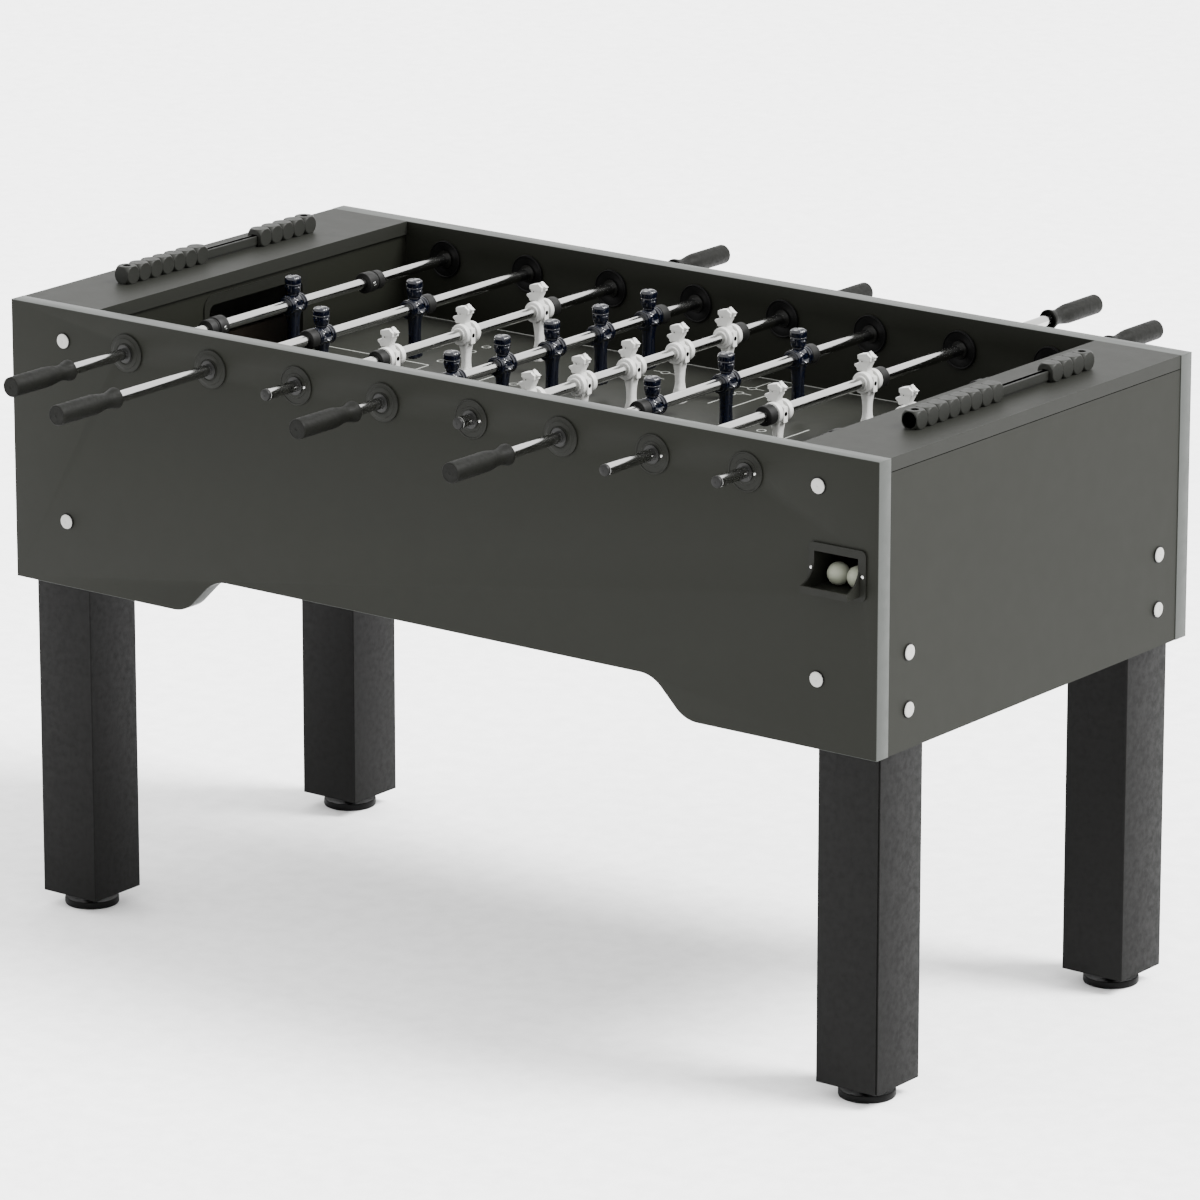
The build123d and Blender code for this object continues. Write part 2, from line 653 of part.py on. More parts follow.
def make_man(dark):
    """A player on a rod along Y at the origin, facing +X and hanging down."""
    with BuildPart() as man:
        Cylinder(HUB_R[dark], 2 * MAN_HALF, rotation=(90, 0, 0))
        for z, x_size, y_size in MAN_SECTIONS:
            with BuildSketch(Plane.XY.offset(z)):
                RectangleRounded(x_size, y_size, MAN_ROUND)
        loft()
        with BuildSketch(Plane.XZ.offset(0 if dark else -WHITE_HEAD_WIDE / 2)):
            with BuildLine():
                Polyline(*(DARK_HEAD if dark else WHITE_HEAD), close=True)
            make_face()
        if dark:
            revolve(axis=Axis.Z)
        else:
            extrude(amount=WHITE_HEAD_WIDE)
        Cylinder(ROD_R + FIT_GAP, 4 * MAN_HALF, rotation=(90, 0, 0), mode=Mode.SUBTRACT)
    return man


def players(x, places, dark):
    """All the players of one rod: the dark team faces +X, the light team -X."""
    with BuildPart() as team:
        for place in places:
            with Locations(Location((x, place, ROD_Z), (0, 0, 0 if dark else 180))):
                add(men_shapes[dark].part)
    return team


def stops(x, rest, men, handle_side):
    """What limits the rod's slide: a ring beyond each outer man, or two goalkeeper clamps."""
    bore = ROD_R + FIT_GAP
    pieces = []
    for side in (-1, 1):
        if men == 1:
            body_from = rest + side * CLAMP_START
            nose_from = body_from + side * CLAMP_BODY
            nose_to = nose_from + side * CLAMP_NOSE
            pieces.append(tube(x, body_from, nose_from, CLAMP_BODY_R, bore))
            pieces.append(tube(x, nose_from, nose_to, CLAMP_NOSE_R, bore))
        else:
            ring_from = rest + side * (man_places(men)[-1] + MAN_HALF)
            pieces.append(tube(x, ring_from, ring_from + side * RING_LENGTH, RING_R, bore))
    tip = rest - handle_side * STUB_TIP[men]
    head_to = tip + handle_side * PLUG_HEAD
    pieces.append(tube(x, tip, head_to, ROD_R, 0))
    pieces.append(tube(x, head_to, head_to + handle_side * PLUG_STEM, ROD_BORE_R - FIT_GAP, 0))
    return pieces


men_shapes = {dark: make_man(dark) for dark in (True, False)}
bearing_halves = []

for number, (men, dark, handle_side, rest) in enumerate(RODS, start=1):
    x = rod_x(number)
    grip_y = rest + handle_side * GRIP_FACE[men]
    tube_from = rest - handle_side * (STUB_TIP[men] - PLUG_HEAD)
    tube_to = grip_y + handle_side * (GRIP_BORE - HALF_GAP)
    flange_thick = {handle_side: HANDLE_FLANGE, -handle_side: STUB_FLANGE}
    places = [rest + place for place in man_places(men)]

    save(tube(x, tube_from, tube_to, ROD_R, ROD_BORE_R), f"rod_{number}")
    save(grip(x, grip_y, handle_side), f"handle_{number}")
    save(players(x, places, dark), f"men_{number}")
    save(group(stops(x, rest, men, handle_side)), f"stops_{number}")
    save(group([sleeve(x, side, flange_thick[side]) for side in (-1, 1)]), f"sleeves_{number}")
    for side in (-1, 1):
        bearing_halves.extend(bearing_pair(x, side, flange_thick[side]))

save(group(bearing_halves), "bearing_flanges")
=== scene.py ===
"""Foosball table: the looks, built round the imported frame.

Everything is in metres in the frame's own axes: X along the field, Y across it, Z up from the floor.
The sizes that follow the frame are read from its nodes, and the rest are named here in millimetres.
"""
import bmesh
import bpy
import math
from mathutils import Matrix, Vector


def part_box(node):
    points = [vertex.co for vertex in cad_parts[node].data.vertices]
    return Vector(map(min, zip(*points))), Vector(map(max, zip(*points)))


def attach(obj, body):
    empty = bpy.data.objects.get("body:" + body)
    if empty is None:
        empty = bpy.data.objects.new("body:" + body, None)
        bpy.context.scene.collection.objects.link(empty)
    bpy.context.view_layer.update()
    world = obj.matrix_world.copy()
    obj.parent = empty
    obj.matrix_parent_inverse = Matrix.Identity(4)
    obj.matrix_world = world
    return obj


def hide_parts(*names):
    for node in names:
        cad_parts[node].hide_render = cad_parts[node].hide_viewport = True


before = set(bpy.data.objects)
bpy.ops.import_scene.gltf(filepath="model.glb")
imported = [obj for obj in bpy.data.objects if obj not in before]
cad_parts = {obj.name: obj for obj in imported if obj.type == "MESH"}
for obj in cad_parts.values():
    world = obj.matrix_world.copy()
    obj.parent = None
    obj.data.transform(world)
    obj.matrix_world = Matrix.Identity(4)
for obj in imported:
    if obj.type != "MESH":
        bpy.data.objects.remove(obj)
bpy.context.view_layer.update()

MM = 0.001
AXES = {"X": Vector((1, 0, 0)), "Y": Vector((0, 1, 0)), "Z": Vector((0, 0, 1))}

# The eight rods from -X to +X: men, dark team, side of the handle.
RODS = [
    (1, True, -1), (2, True, -1), (3, False, 1), (5, True, -1),
    (5, False, 1), (3, True, -1), (2, False, 1), (1, False, 1),
]
MAN_PITCH = {1: 0.0, 2: 207.0, 3: 167.0, 5: 111.0}


def low(node):
    """Lowest corner of a node, in millimetres."""
    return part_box(node)[0] / MM


def high(node):
    """Highest corner of a node, in millimetres."""
    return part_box(node)[1] / MM


FIELD_Z = high("playfield").z
TOP_Z = high("side_panel_front").z
PANEL_BOTTOM = low("side_panel_front").z
PANEL_OUT = -low("side_panel_front").y
PANEL_IN = -high("side_panel_front").y
HALF_LENGTH = high("side_panel_front").x
ROD_Z = (low("rod_1").z + high("rod_1").z) / 2
ROD_R = (high("rod_1").z - low("rod_1").z) / 2


def rod_x(number):
    """X of a rod, from its own tube."""
    return (low(f"rod_{number}").x + high(f"rod_{number}").x) / 2


# ---- materials ----------------------------------------------------------------------------
NOISE_ROUGHNESS = 0.55
# The part of a noise that most of its values fall in.
NOISE_LOW = 0.3
NOISE_HIGH = 0.7


class Shader:
    """A principled material with small helpers for procedural detail."""

    def __init__(self, name, colour, roughness, metallic=0.0, shine=0.5):
        self.material = bpy.data.materials.new(name)
        self.material.use_nodes = True
        self.tree = self.material.node_tree
        self.shader = self.tree.nodes["Principled BSDF"]
        self.colour = (*colour, 1.0)
        self.shader.inputs["Base Color"].default_value = self.colour
        self.shader.inputs["Roughness"].default_value = roughness
        self.shader.inputs["Specular IOR Level"].default_value = shine
        self.shader.inputs["Metallic"].default_value = metallic
        self.place = self.tree.nodes.new("ShaderNodeTexCoord")
        self.normal = None

    def node(self, kind, **inputs):
        """A new node with its inputs set by name."""
        made = self.tree.nodes.new(kind)
        for key, value in inputs.items():
            made.inputs[key.replace("_", " ")].default_value = value
        return made

    def link(self, source, target):
        """Joins one socket to another."""
        self.tree.links.new(source, target)

    def noise(self, scale, detail, stretch=(1.0, 1.0, 1.0)):
        """Noise in the object's own metres, stretched along the axes."""
        mapping = self.node("ShaderNodeMapping", Scale=stretch)
        noise = self.node("ShaderNodeTexNoise", Scale=scale, Detail=detail, Roughness=NOISE_ROUGHNESS)
        self.link(self.place.outputs["Object"], mapping.inputs["Vector"])
        self.link(mapping.outputs["Vector"], noise.inputs["Vector"])
        return noise.outputs["Fac"]

    def cells(self, scale, stretch=(1.0, 1.0, 1.0)):
        """Cell distance, for pebbled and leather-like grain."""
        mapping = self.node("ShaderNodeMapping", Scale=stretch)
        cells = self.node("ShaderNodeTexVoronoi", Scale=scale)
        self.link(self.place.outputs["Object"], mapping.inputs["Vector"])
        self.link(mapping.outputs["Vector"], cells.inputs["Vector"])
        return cells.outputs["Distance"]

    def spread(self, source, lowest, highest):
        """Source mapped from the usual range of a noise to lowest..highest."""
        ranged = self.node("ShaderNodeMapRange", From_Min=NOISE_LOW, From_Max=NOISE_HIGH,
                           To_Min=lowest, To_Max=highest)
        self.link(source, ranged.inputs["Value"])
        return ranged.outputs["Result"]

    def tint(self, source, amount):
        """Colour lighter and darker by amount, following source."""
        ramp = self.node("ShaderNodeValToRGB")
        stops = zip(ramp.color_ramp.elements, (NOISE_LOW, NOISE_HIGH), (1 - amount, 1 + amount))
        for stop, place, factor in stops:
            stop.position = place
            stop.color = (*[min(1.0, channel * factor) for channel in self.colour[:3]], 1.0)
        self.link(source, ramp.inputs["Fac"])
        self.link(ramp.outputs["Color"], self.shader.inputs["Base Color"])

    def rough(self, source, lowest, highest):
        """Roughness between two values, following source."""
        self.link(self.spread(source, lowest, highest), self.shader.inputs["Roughness"])

    def bump(self, source, height, strength=1.0):
        """Relief of a height in millimetres; calls add up."""
        bump = self.node("ShaderNodeBump", Strength=strength, Distance=height * MM)
        self.link(source, bump.inputs["Height"])
        if self.normal is not None:
            self.link(self.normal, bump.inputs["Normal"])
        self.normal = bump.outputs["Normal"]
        self.link(self.normal, self.shader.inputs["Normal"])


def make_laminate(name, colour, roughness, shine=0.2):
    """Matt melamine board: a faint mottle and a fine pressed grain."""
    made = Shader(name, colour, roughness, shine=shine)
    made.tint(made.noise(9.0, 5.0), 0.006)
    made.rough(made.noise(40.0, 3.0), roughness - 0.015, roughness + 0.015)
    made.bump(made.noise(900.0, 2.0), 0.05, 0.35)
    return made.material


def make_band(name, colour):
    """Plastic edge banding: smoother than the board, with long faint roller marks."""
    made = Shader(name, colour, 0.42, shine=0.25)
    made.tint(made.noise(14.0, 3.0), 0.025)
    made.rough(made.noise(60.0, 2.0, (0.1, 1.0, 1.0)), 0.36, 0.48)
    made.bump(made.noise(500.0, 2.0, (0.05, 1.0, 1.0)), 0.03, 0.3)
    return made.material


def make_textured_black(name):
    """Black film with an embossed leatherette grain, as on the legs."""
    made = Shader(name, (0.0014, 0.0014, 0.0012), 0.45, shine=0.09)
    made.tint(made.noise(25.0, 4.0), 0.15)
    made.rough(made.noise(120.0, 3.0), 0.42, 0.6)
    made.bump(made.cells(900.0, (1.0, 1.0, 0.7)), 0.12, 0.5)
    return made.material


def make_moulded(name, colour, roughness, grain, shine=0.3):
    """Moulded plastic with a spark-eroded texture."""
    made = Shader(name, colour, roughness, shine=shine)
    made.tint(made.noise(30.0, 3.0), 0.05)
    made.rough(made.noise(90.0, 3.0), roughness - 0.07, roughness + 0.07)
    made.bump(made.noise(1600.0, 2.0), grain, 0.4)
    return made.material


def make_grip(name):
    """Soft black rubber with a leather-like skin."""
    made = Shader(name, (0.0025, 0.0026, 0.0019), 0.6, shine=0.09)
    made.tint(made.noise(60.0, 4.0), 0.2)
    made.rough(made.noise(200.0, 3.0), 0.5, 0.7)
    made.bump(made.cells(650.0), 0.25, 0.5)
    made.bump(made.noise(2200.0, 2.0), 0.06, 0.4)
    return made.material


def make_chrome(name):
    """Polished plated tube: drawn along its length, with light wipe marks."""
    made = Shader(name, (0.43, 0.43, 0.42), 0.14, 1.0)
    made.tint(made.noise(12.0, 3.0), 0.02)
    made.rough(made.noise(300.0, 3.0, (1.0, 0.05, 1.0)), 0.13, 0.17)
    return made.material


def make_gloss(name, colour):
    """High-gloss injection moulding with a little sink and swirl in its skin."""
    made = Shader(name, colour, 0.06, shine=0.35)
    made.tint(made.noise(90.0, 3.0), 0.12)
    made.rough(made.noise(150.0, 3.0), 0.04, 0.1)
    made.bump(made.noise(180.0, 2.0), 0.12, 0.25)
    made.shader.inputs["Coat Weight"].default_value = 0.12
    return made.material


def make_player_white(name):
    """Satin white nylon that glows a little in its thin parts."""
    made = Shader(name, (0.40, 0.40, 0.385), 0.42)
    made.tint(made.noise(70.0, 3.0), 0.02)
    made.rough(made.noise(120.0, 3.0), 0.36, 0.5)
    made.bump(made.noise(900.0, 2.0), 0.03, 0.35)
    made.shader.inputs["Subsurface Weight"].default_value = 0.15
    made.shader.inputs["Subsurface Radius"].default_value = (0.004, 0.004, 0.0035)
    return made.material


LAMINATE = make_laminate("laminate_grey", (0.0072, 0.0076, 0.0056), 0.5, 0.08)
TOP_LAMINATE = make_laminate("laminate_top", (0.0088, 0.0092, 0.0074), 0.55, 0.12)
FIELD = make_laminate("field_board", (0.0162, 0.0168, 0.0142), 0.38, 0.16)
RAW_BOARD = make_laminate("raw_board", (0.045, 0.036, 0.026), 0.7)
BAND = make_band("edge_band", (0.0245, 0.0272, 0.0243))
LEG_FILM = make_textured_black("leg_film")
GREY_PLASTIC = make_moulded("grey_plastic", (0.0066, 0.0069, 0.0054), 0.5, 0.04, 0.09)
DARK_PLASTIC = make_moulded("dark_plastic", (0.0015, 0.0015, 0.0015), 0.45, 0.04, 0.1)
FOOT_PLASTIC = make_moulded("foot_plastic", (0.0012, 0.0012, 0.0012), 0.5, 0.08, 0.08)
SLEEVE_PLASTIC = make_moulded("sleeve_plastic", (0.004, 0.004, 0.0036), 0.35, 0.04, 0.2)
COUNTER_PLASTIC = make_moulded("counter_plastic", (0.0092, 0.0096, 0.0080), 0.5, 0.04, 0.14)
BALL_PLASTIC = make_moulded("ball_plastic", (0.19, 0.20, 0.155), 0.5, 0.1)
PRINT_INK = make_moulded("print_ink", (0.21, 0.215, 0.20), 0.45, 0.01)
STOP_RUBBER = make_moulded("stop_rubber", (0.0045, 0.0045, 0.0042), 0.55, 0.08, 0.15)
CAP_WHITE = make_moulded("bolt_cap", (0.27, 0.27, 0.255), 0.3, 0.01)
# Near-black used as painted shade: it stands in for the shade in holes, recesses, sockets, gaps and grooves
# that are not cut into the meshes.
PAINTED_SHADE_BLACK = make_moulded("painted_shade_black", (0.0003, 0.0003, 0.0003), 0.9, 0.01, 0.0)
SCREW_METAL = make_chrome("screw_metal")
GRIP = make_grip("grip_rubber")
CHROME = make_chrome("chrome_tube")
PLAYER_DARK = make_gloss("player_dark", (0.0010, 0.0016, 0.0045))
PLAYER_WHITE = make_player_white("player_white")


# ---- mesh helpers -------------------------------------------------------------------------
def finish_mesh(bm, name, materials, smooth_angle):
    """Turns a bmesh in millimetres into a smooth-shaded mesh in metres."""
    bmesh.ops.recalc_face_normals(bm, faces=bm.faces)
    bmesh.ops.scale(bm, vec=(MM, MM, MM), verts=bm.verts)
    mesh = bpy.data.meshes.new(name)
    bm.to_mesh(mesh)
    bm.free()
    for material in materials:
        mesh.materials.append(material)
    mesh.shade_smooth()
    mesh.set_sharp_from_angle(angle=math.radians(smooth_angle))
    return mesh


def show(name, data):
    """A new object in the scene."""
    shown = bpy.data.objects.new(name, data)
    bpy.context.scene.collection.objects.link(shown)
    return shown


def place_piece(bm, name, body, materials, smooth_angle=35.0):
    """Turns a bmesh in millimetres into a piece that rides on a body."""
    piece = show(name, finish_mesh(bm, name, materials, smooth_angle))
    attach(piece, body)
    return piece


def lathe(bm, profile, centre, axis, steps, material=0):
    """Turns a (radius, distance) profile about an axis through centre; all in millimetres."""
    along = AXES[axis]
    across = AXES["X"] if axis != "X" else AXES["Y"]
    third = along.cross(across)
    rings = []
    for radius, distance in profile:
        middle = Vector(centre) + along * distance
        if radius == 0:
            rings.append([bm.verts.new(middle)])
            continue
        ring = []
        for step in range(steps):
            turn = 2 * math.pi * step / steps
            ring.append(bm.verts.new(middle + radius * (across * math.cos(turn) + third * math.sin(turn))))
        rings.append(ring)
    for first, second in zip(rings, rings[1:]):
        for step in range(steps):
            after = (step + 1) % steps
            corners = [first[step % len(first)], first[after % len(first)],
                       second[after % len(second)], second[step % len(second)]]
            unique = list(dict.fromkeys(corners))
            if len(unique) > 2:
                bm.faces.new(unique).material_index = material


def facing(profile, sign):
    """A lathe profile with its distances turned to the positive or negative side."""
    return [(radius, sign * far) for radius, far in profile]


def loft(bm, sections, material=0):
    """Skins closed sections of equal count, with both ends capped."""
    rings = [[bm.verts.new(point) for point in section] for section in sections]
    count = len(rings[0])
    for first, second in zip(rings, rings[1:]):
        for index in range(count):
            after = (index + 1) % count
            face = bm.faces.new((first[index], first[after], second[after], second[index]))
            face.material_index = material
    for ring in (rings[0], rings[-1]):
        bm.faces.new(ring).material_index = material


def prism(bm, outline, y_low, y_high, material=0):
    """An outline in XZ carried along Y."""
    loft(bm, [[(x, y, z) for x, z in outline] for y in (y_low, y_high)], material)


def oval(z, half_x, half_y, centre_x, power, count):
    """A rounded section at a height, squarer as power grows."""
    points = []
    for index in range(count):
        turn = 2 * math.pi * index / count
        c, s = math.cos(turn), math.sin(turn)
        x = math.copysign(abs(c) ** (2 / power), c) * half_x
        y = math.copysign(abs(s) ** (2 / power), s) * half_y
        points.append((centre_x + x, y, z))
    return points


def paint(node, material):
    """Gives a carried-over CAD node its material."""
    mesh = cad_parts[node].data
    mesh.materials.clear()
    mesh.materials.append(material)


def soften(node, width):
    """Rounds the sharp edges of a carried-over CAD node a little."""
    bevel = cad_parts[node].modifiers.new("soft_edges", "BEVEL")
    bevel.width = width * MM
    bevel.segments = 2
    bevel.limit_method = "ANGLE"
    bevel.angle_limit = math.radians(40)
    bevel.harden_normals = True


# ---- cabinet ------------------------------------------------------------------------------
ARCH_RISE = 53.0
ARCH_HALF_TOP = 374.5
ARCH_ROUND = 50.0
EDGE_ROUND = 0.6
CUP_X = 670.5
WINDOW_HALF = 37.2
WINDOW_LOW = 701.0
WINDOW_HIGH = 759.0
BORE_R = 14.2
BORE_STEPS = 48


def round_corners(corners, steps=10):
    """A closed outline from (x, z, radius) corners, with an arc at each corner that has a radius."""
    outline = []
    for index, (x, z, radius) in enumerate(corners):
        here = Vector((x, z))
        if not radius:
            outline.append((x, z))
            continue
        before = (Vector(corners[index - 1][:2]) - here).normalized()
        after = (Vector(corners[(index + 1) % len(corners)][:2]) - here).normalized()
        half = before.angle(after) / 2
        middle = here + (before + after).normalized() * radius / math.sin(half)
        start = here + before * radius / math.tan(half) - middle
        sweep = start.angle_signed(here + after * radius / math.tan(half) - middle)
        for step in range(steps + 1):
            turned = start @ Matrix.Rotation(sweep * step / steps, 2)
            outline.append(tuple(middle + turned))
    return outline


def board(name, outlines, y_low, y_high, materials):
    """A flat board across Y from XZ outlines (the first outside, the rest holes), with softened edges."""
    curve = bpy.data.curves.new(name, "CURVE")
    curve.dimensions = "2D"
    curve.fill_mode = "BOTH"
    curve.extrude = (y_high - y_low) / 2 - EDGE_ROUND
    curve.bevel_depth = EDGE_ROUND
    curve.bevel_resolution = 2
    curve.offset = -EDGE_ROUND
    for outline in outlines:
        spline = curve.splines.new("POLY")
        spline.points.add(len(outline) - 1)
        for point, (x, z) in zip(spline.points, outline):
            point.co = (x, z, 0, 1)
        spline.use_cyclic_u = True
    sketch = show(name, curve)
    bm = bmesh.new()
    bm.from_mesh(bpy.data.meshes.new_from_object(sketch))
    bpy.data.objects.remove(sketch)
    upright = Matrix.Translation((0, (y_low + y_high) / 2, 0)) @ Matrix.Rotation(math.pi / 2, 4, "X")
    bmesh.ops.transform(bm, matrix=upright, verts=bm.verts)
    bmesh.ops.remove_doubles(bm, verts=bm.verts, dist=0.001)
    for face in bm.faces:
        face.normal_update()
        face.material_index = 0 if abs(face.normal.y) > 0.999 else 1
    return place_piece(bm, name, "root", materials)


def make_side_panels():
    """The two long boards with arched lower edges, in laminate with light edge banding."""
    foot = ARCH_HALF_TOP + ARCH_RISE
    arch_top = PANEL_BOTTOM + ARCH_RISE
    outline = round_corners([
        (-HALF_LENGTH, PANEL_BOTTOM, 0), (-foot, PANEL_BOTTOM, ARCH_ROUND),
        (-ARCH_HALF_TOP, arch_top, ARCH_ROUND), (ARCH_HALF_TOP, arch_top, ARCH_ROUND),
        (foot, PANEL_BOTTOM, ARCH_ROUND), (HALF_LENGTH, PANEL_BOTTOM, 0),
        (HALF_LENGTH, TOP_Z, 0), (-HALF_LENGTH, TOP_Z, 0),
    ])
    turns = [2 * math.pi * step / BORE_STEPS for step in range(BORE_STEPS)]
    bores = []
    for number in range(1, len(RODS) + 1):
        bores.append([(rod_x(number) + BORE_R * math.cos(turn), ROD_Z + BORE_R * math.sin(turn))
                      for turn in turns])
    for side, name in ((-1, "front"), (1, "rear")):
        near, far = -side * CUP_X - WINDOW_HALF, -side * CUP_X + WINDOW_HALF
        window = [(near, WINDOW_LOW), (far, WINDOW_LOW), (far, WINDOW_HIGH), (near, WINDOW_HIGH)]
        y_low, y_high = sorted((side * PANEL_IN, side * PANEL_OUT))
        panel = board(f"{name}_panel_board", [outline, window] + bores, y_low, y_high, [LAMINATE, BAND])
        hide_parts(f"side_panel_{name}")


def make_boards():
    """Materials for the nodes that keep their CAD shape, and softened edges for those in sight."""
    paint("end_panels", LAMINATE)
    paint("top_boards", TOP_LAMINATE)
    paint("goal_walls", LAMINATE)
    paint("playfield", FIELD)
    paint("inner_frame", RAW_BOARD)
    paint("goal_rims", GREY_PLASTIC)
    paint("ball_cups", GREY_PLASTIC)
    paint("balls", BALL_PLASTIC)
    for node, width in (("end_panels", 0.9), ("top_boards", 0.9), ("goal_rims", 0.7), ("ball_cups", 0.8)):
        soften(node, width)


PRINT_LIFT = 0.12
LINE_WIDTH = 2.6
RING_OUT = 7.0
RING_LINE = 1.6
# Printed straight lines: from x, y to x, y. Each is repeated half a turn round the field.
PRINT_LINES = [
    ((-600, 112.5), (-376, 112.5)), ((-376, 112.5), (-376, -112.5)), ((-376, -112.5), (-600, -112.5)),
    ((264, 139), (264, -139)), ((67, 176), (67, 238)), ((67, 290), (67, 322)), ((106, 164), (106, 322)),
]
PRINT_RINGS = [(-377, 142), (-377, 176.5), (-377, 211), (-377, 245), (214, 98), (214, -98)]
PRINT_DASHED_RINGS = [(-84, 279), (-84, 248), (67, 279), (67, 248)]
DASH_IN = 8.5
DASH_OUT = 20.0
STRIP_HALF = 596.0
STRIP_IN = 2.5
STRIP_WIDTH = 4.0


def make_print():
    """White field markings, a hair above the board, and the light strip along its long edges."""
    bm = bmesh.new()
    z = FIELD_Z + PRINT_LIFT

    def stroke(x1, y1, x2, y2, width):
        """A flat line between two points."""
        along = Vector((x2 - x1, y2 - y1, 0)).normalized() * width / 2
        across = Vector((-along.y, along.x, 0))
        ends = [Vector((x1, y1, z)) - along, Vector((x2, y2, z)) + along]
        corners = [ends[0] - across, ends[1] - across, ends[1] + across, ends[0] + across]
        bm.faces.new([bm.verts.new(corner) for corner in corners])

    def ring(x, y):
        """A flat ring."""
        lathe(bm, [(RING_OUT - RING_LINE, 0), (RING_OUT, 0)], (x, y, z), "Z", 40)

    for half_turn in (1, -1):
        for (x1, y1), (x2, y2) in PRINT_LINES:
            stroke(x1 * half_turn, y1 * half_turn, x2 * half_turn, y2 * half_turn, LINE_WIDTH)
        for x, y in PRINT_RINGS + PRINT_DASHED_RINGS:
            ring(x * half_turn, y * half_turn)
        for x, y in PRINT_DASHED_RINGS:
            x, y = x * half_turn, y * half_turn
            for hand in (-1, 1):
                stroke(x + hand * DASH_IN, y, x + hand * DASH_OUT, y, RING_LINE)
        edge = half_turn * (PANEL_IN - STRIP_IN)
        stroke(-STRIP_HALF, edge, STRIP_HALF, edge, STRIP_WIDTH)
    piece = place_piece(bm, "field_print", "root", [PRINT_INK])


# ---- legs, feet and bolts -----------------------------------------------------------------
LEG = 97.5
LEG_ROUND = 1.6
LEG_SEAM = 2.2
STUD_R = 5.0
STUD_ROOT_R = 4.4
STUD_FROM = 13.4
STUD_RISE = 0.7
STUD_PITCH = 1.5
CAP_R = 10.2
PANEL_BOLT_X = 640.0
PANEL_BOLT_DROP = 304.3
END_BOLT_Y = 294.6
END_BOLT_DROPS = (268, 345)


def make_legs():
    """Square legs in textured film, with the film's seam down the outer corner."""
    leg_low, leg_high = low("legs").z, high("legs").z
    outer_x, outer_y = high("legs").x, high("legs").y
    for end, end_name in ((-1, "left"), (1, "right")):
        for side, side_name in ((-1, "front"), (1, "rear")):
            bm = bmesh.new()
            far_x, far_y = end * outer_x, side * outer_y
            near_x, near_y = far_x - end * LEG, far_y - side * LEG
            corners = [
                (near_x, near_y, LEG_ROUND), (far_x, near_y, LEG_ROUND),
                (far_x, far_y - side * LEG_SEAM, 0.5), (far_x - end * LEG_SEAM, far_y - side * LEG_SEAM, 0),
                (far_x - end * LEG_SEAM, far_y, 0.5), (near_x, far_y, LEG_ROUND),
            ]
            outline = round_corners(corners, 4)
            loft(bm, [[(x, y, z) for x, y in outline] for z in (leg_low, leg_high)])
            piece = place_piece(bm, f"leg_{side_name}_{end_name}", "root", [LEG_FILM], 30)
            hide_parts("legs")


def make_feet():
    """Dished moulded discs on plated studs."""
    for side in ("front", "rear"):
        for end in ("left", "right"):
            node = f"foot_{side}_{end}"
            centre = (low(node) + high(node)) / 2
            radius = (high(node).x - low(node).x) / 2
            disc = [(0, 0), (radius - 2.5, 0), (radius - 0.6, 0.5), (radius, 2), (radius, 8.6),
                    (radius - 0.5, 9.7), (radius - 1.6, 10), (radius - 3.2, 9.7), (radius - 8, 7.6),
                    (20, 6.2), (12, 6.0), (9.4, 6.6), (9, 7.6), (9, 12.4), (8.4, 13), (5, 13)]
            bm = bmesh.new()
            base = (centre.x, centre.y, low(node).z)
            lathe(bm, disc, base, "Z", 72)
            stud = [(STUD_R, 13)]
            for turn in range(int((high(node).z - 14) / STUD_PITCH)):
                crest = STUD_FROM + STUD_PITCH * turn
                stud += [(STUD_R, crest), (STUD_ROOT_R, crest + STUD_RISE)]
            stud += [(4.2, high(node).z - 0.2), (0, high(node).z)]
            lathe(bm, stud, base, "Z", 32, 1)
            bmesh.ops.remove_doubles(bm, verts=bm.verts, dist=0.01)
            piece = place_piece(bm, f"{node}_disc", node, [FOOT_PLASTIC, SCREW_METAL])
            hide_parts(node)


def make_bolts():
    """Pale bolt caps with a shadow ring and a small moulding mark."""
    spots = [((end * PANEL_BOLT_X, side * PANEL_OUT, z), "Y", side)
             for end in (-1, 1) for side in (-1, 1) for z in (ROD_Z, TOP_Z - PANEL_BOLT_DROP)]
    end_x = high("end_panels").x
    spots += [((end * end_x, side * END_BOLT_Y, TOP_Z - drop), "X", end)
              for end in (-1, 1) for side in (-1, 1) for drop in END_BOLT_DROPS]
    cap = [(0, 2.5), (0.7, 2.5), (1.1, 2.8), (1.5, 2.95), (CAP_R - 1.6, 2.95), (CAP_R - 0.5, 2.7),
           (CAP_R, 2.2), (CAP_R, 0.5)]
    seat = [(CAP_R, 1.4), (CAP_R + 0.9, 1.3), (CAP_R + 1.2, 1.0), (CAP_R + 1.2, 0.02)]
    shank = [(4, 0.5), (4, -38), (0, -40)]
    bm = bmesh.new()
    for (x, y, z), axis, sign in spots:
        for profile, material in ((cap, 0), (seat, 1), (shank, 2)):
            lathe(bm, facing(profile, sign), (x, y, z), axis, 48, material)
    piece = place_piece(bm, "bolt_caps", "root", [CAP_WHITE, DARK_PLASTIC, SCREW_METAL])
    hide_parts("cabinet_bolts")


# ---- bearings -----------------------------------------------------------------------------
FLANGE_R = 27.0
HOUSING_R = 11.05
STUB_SCREW_X = 15.2
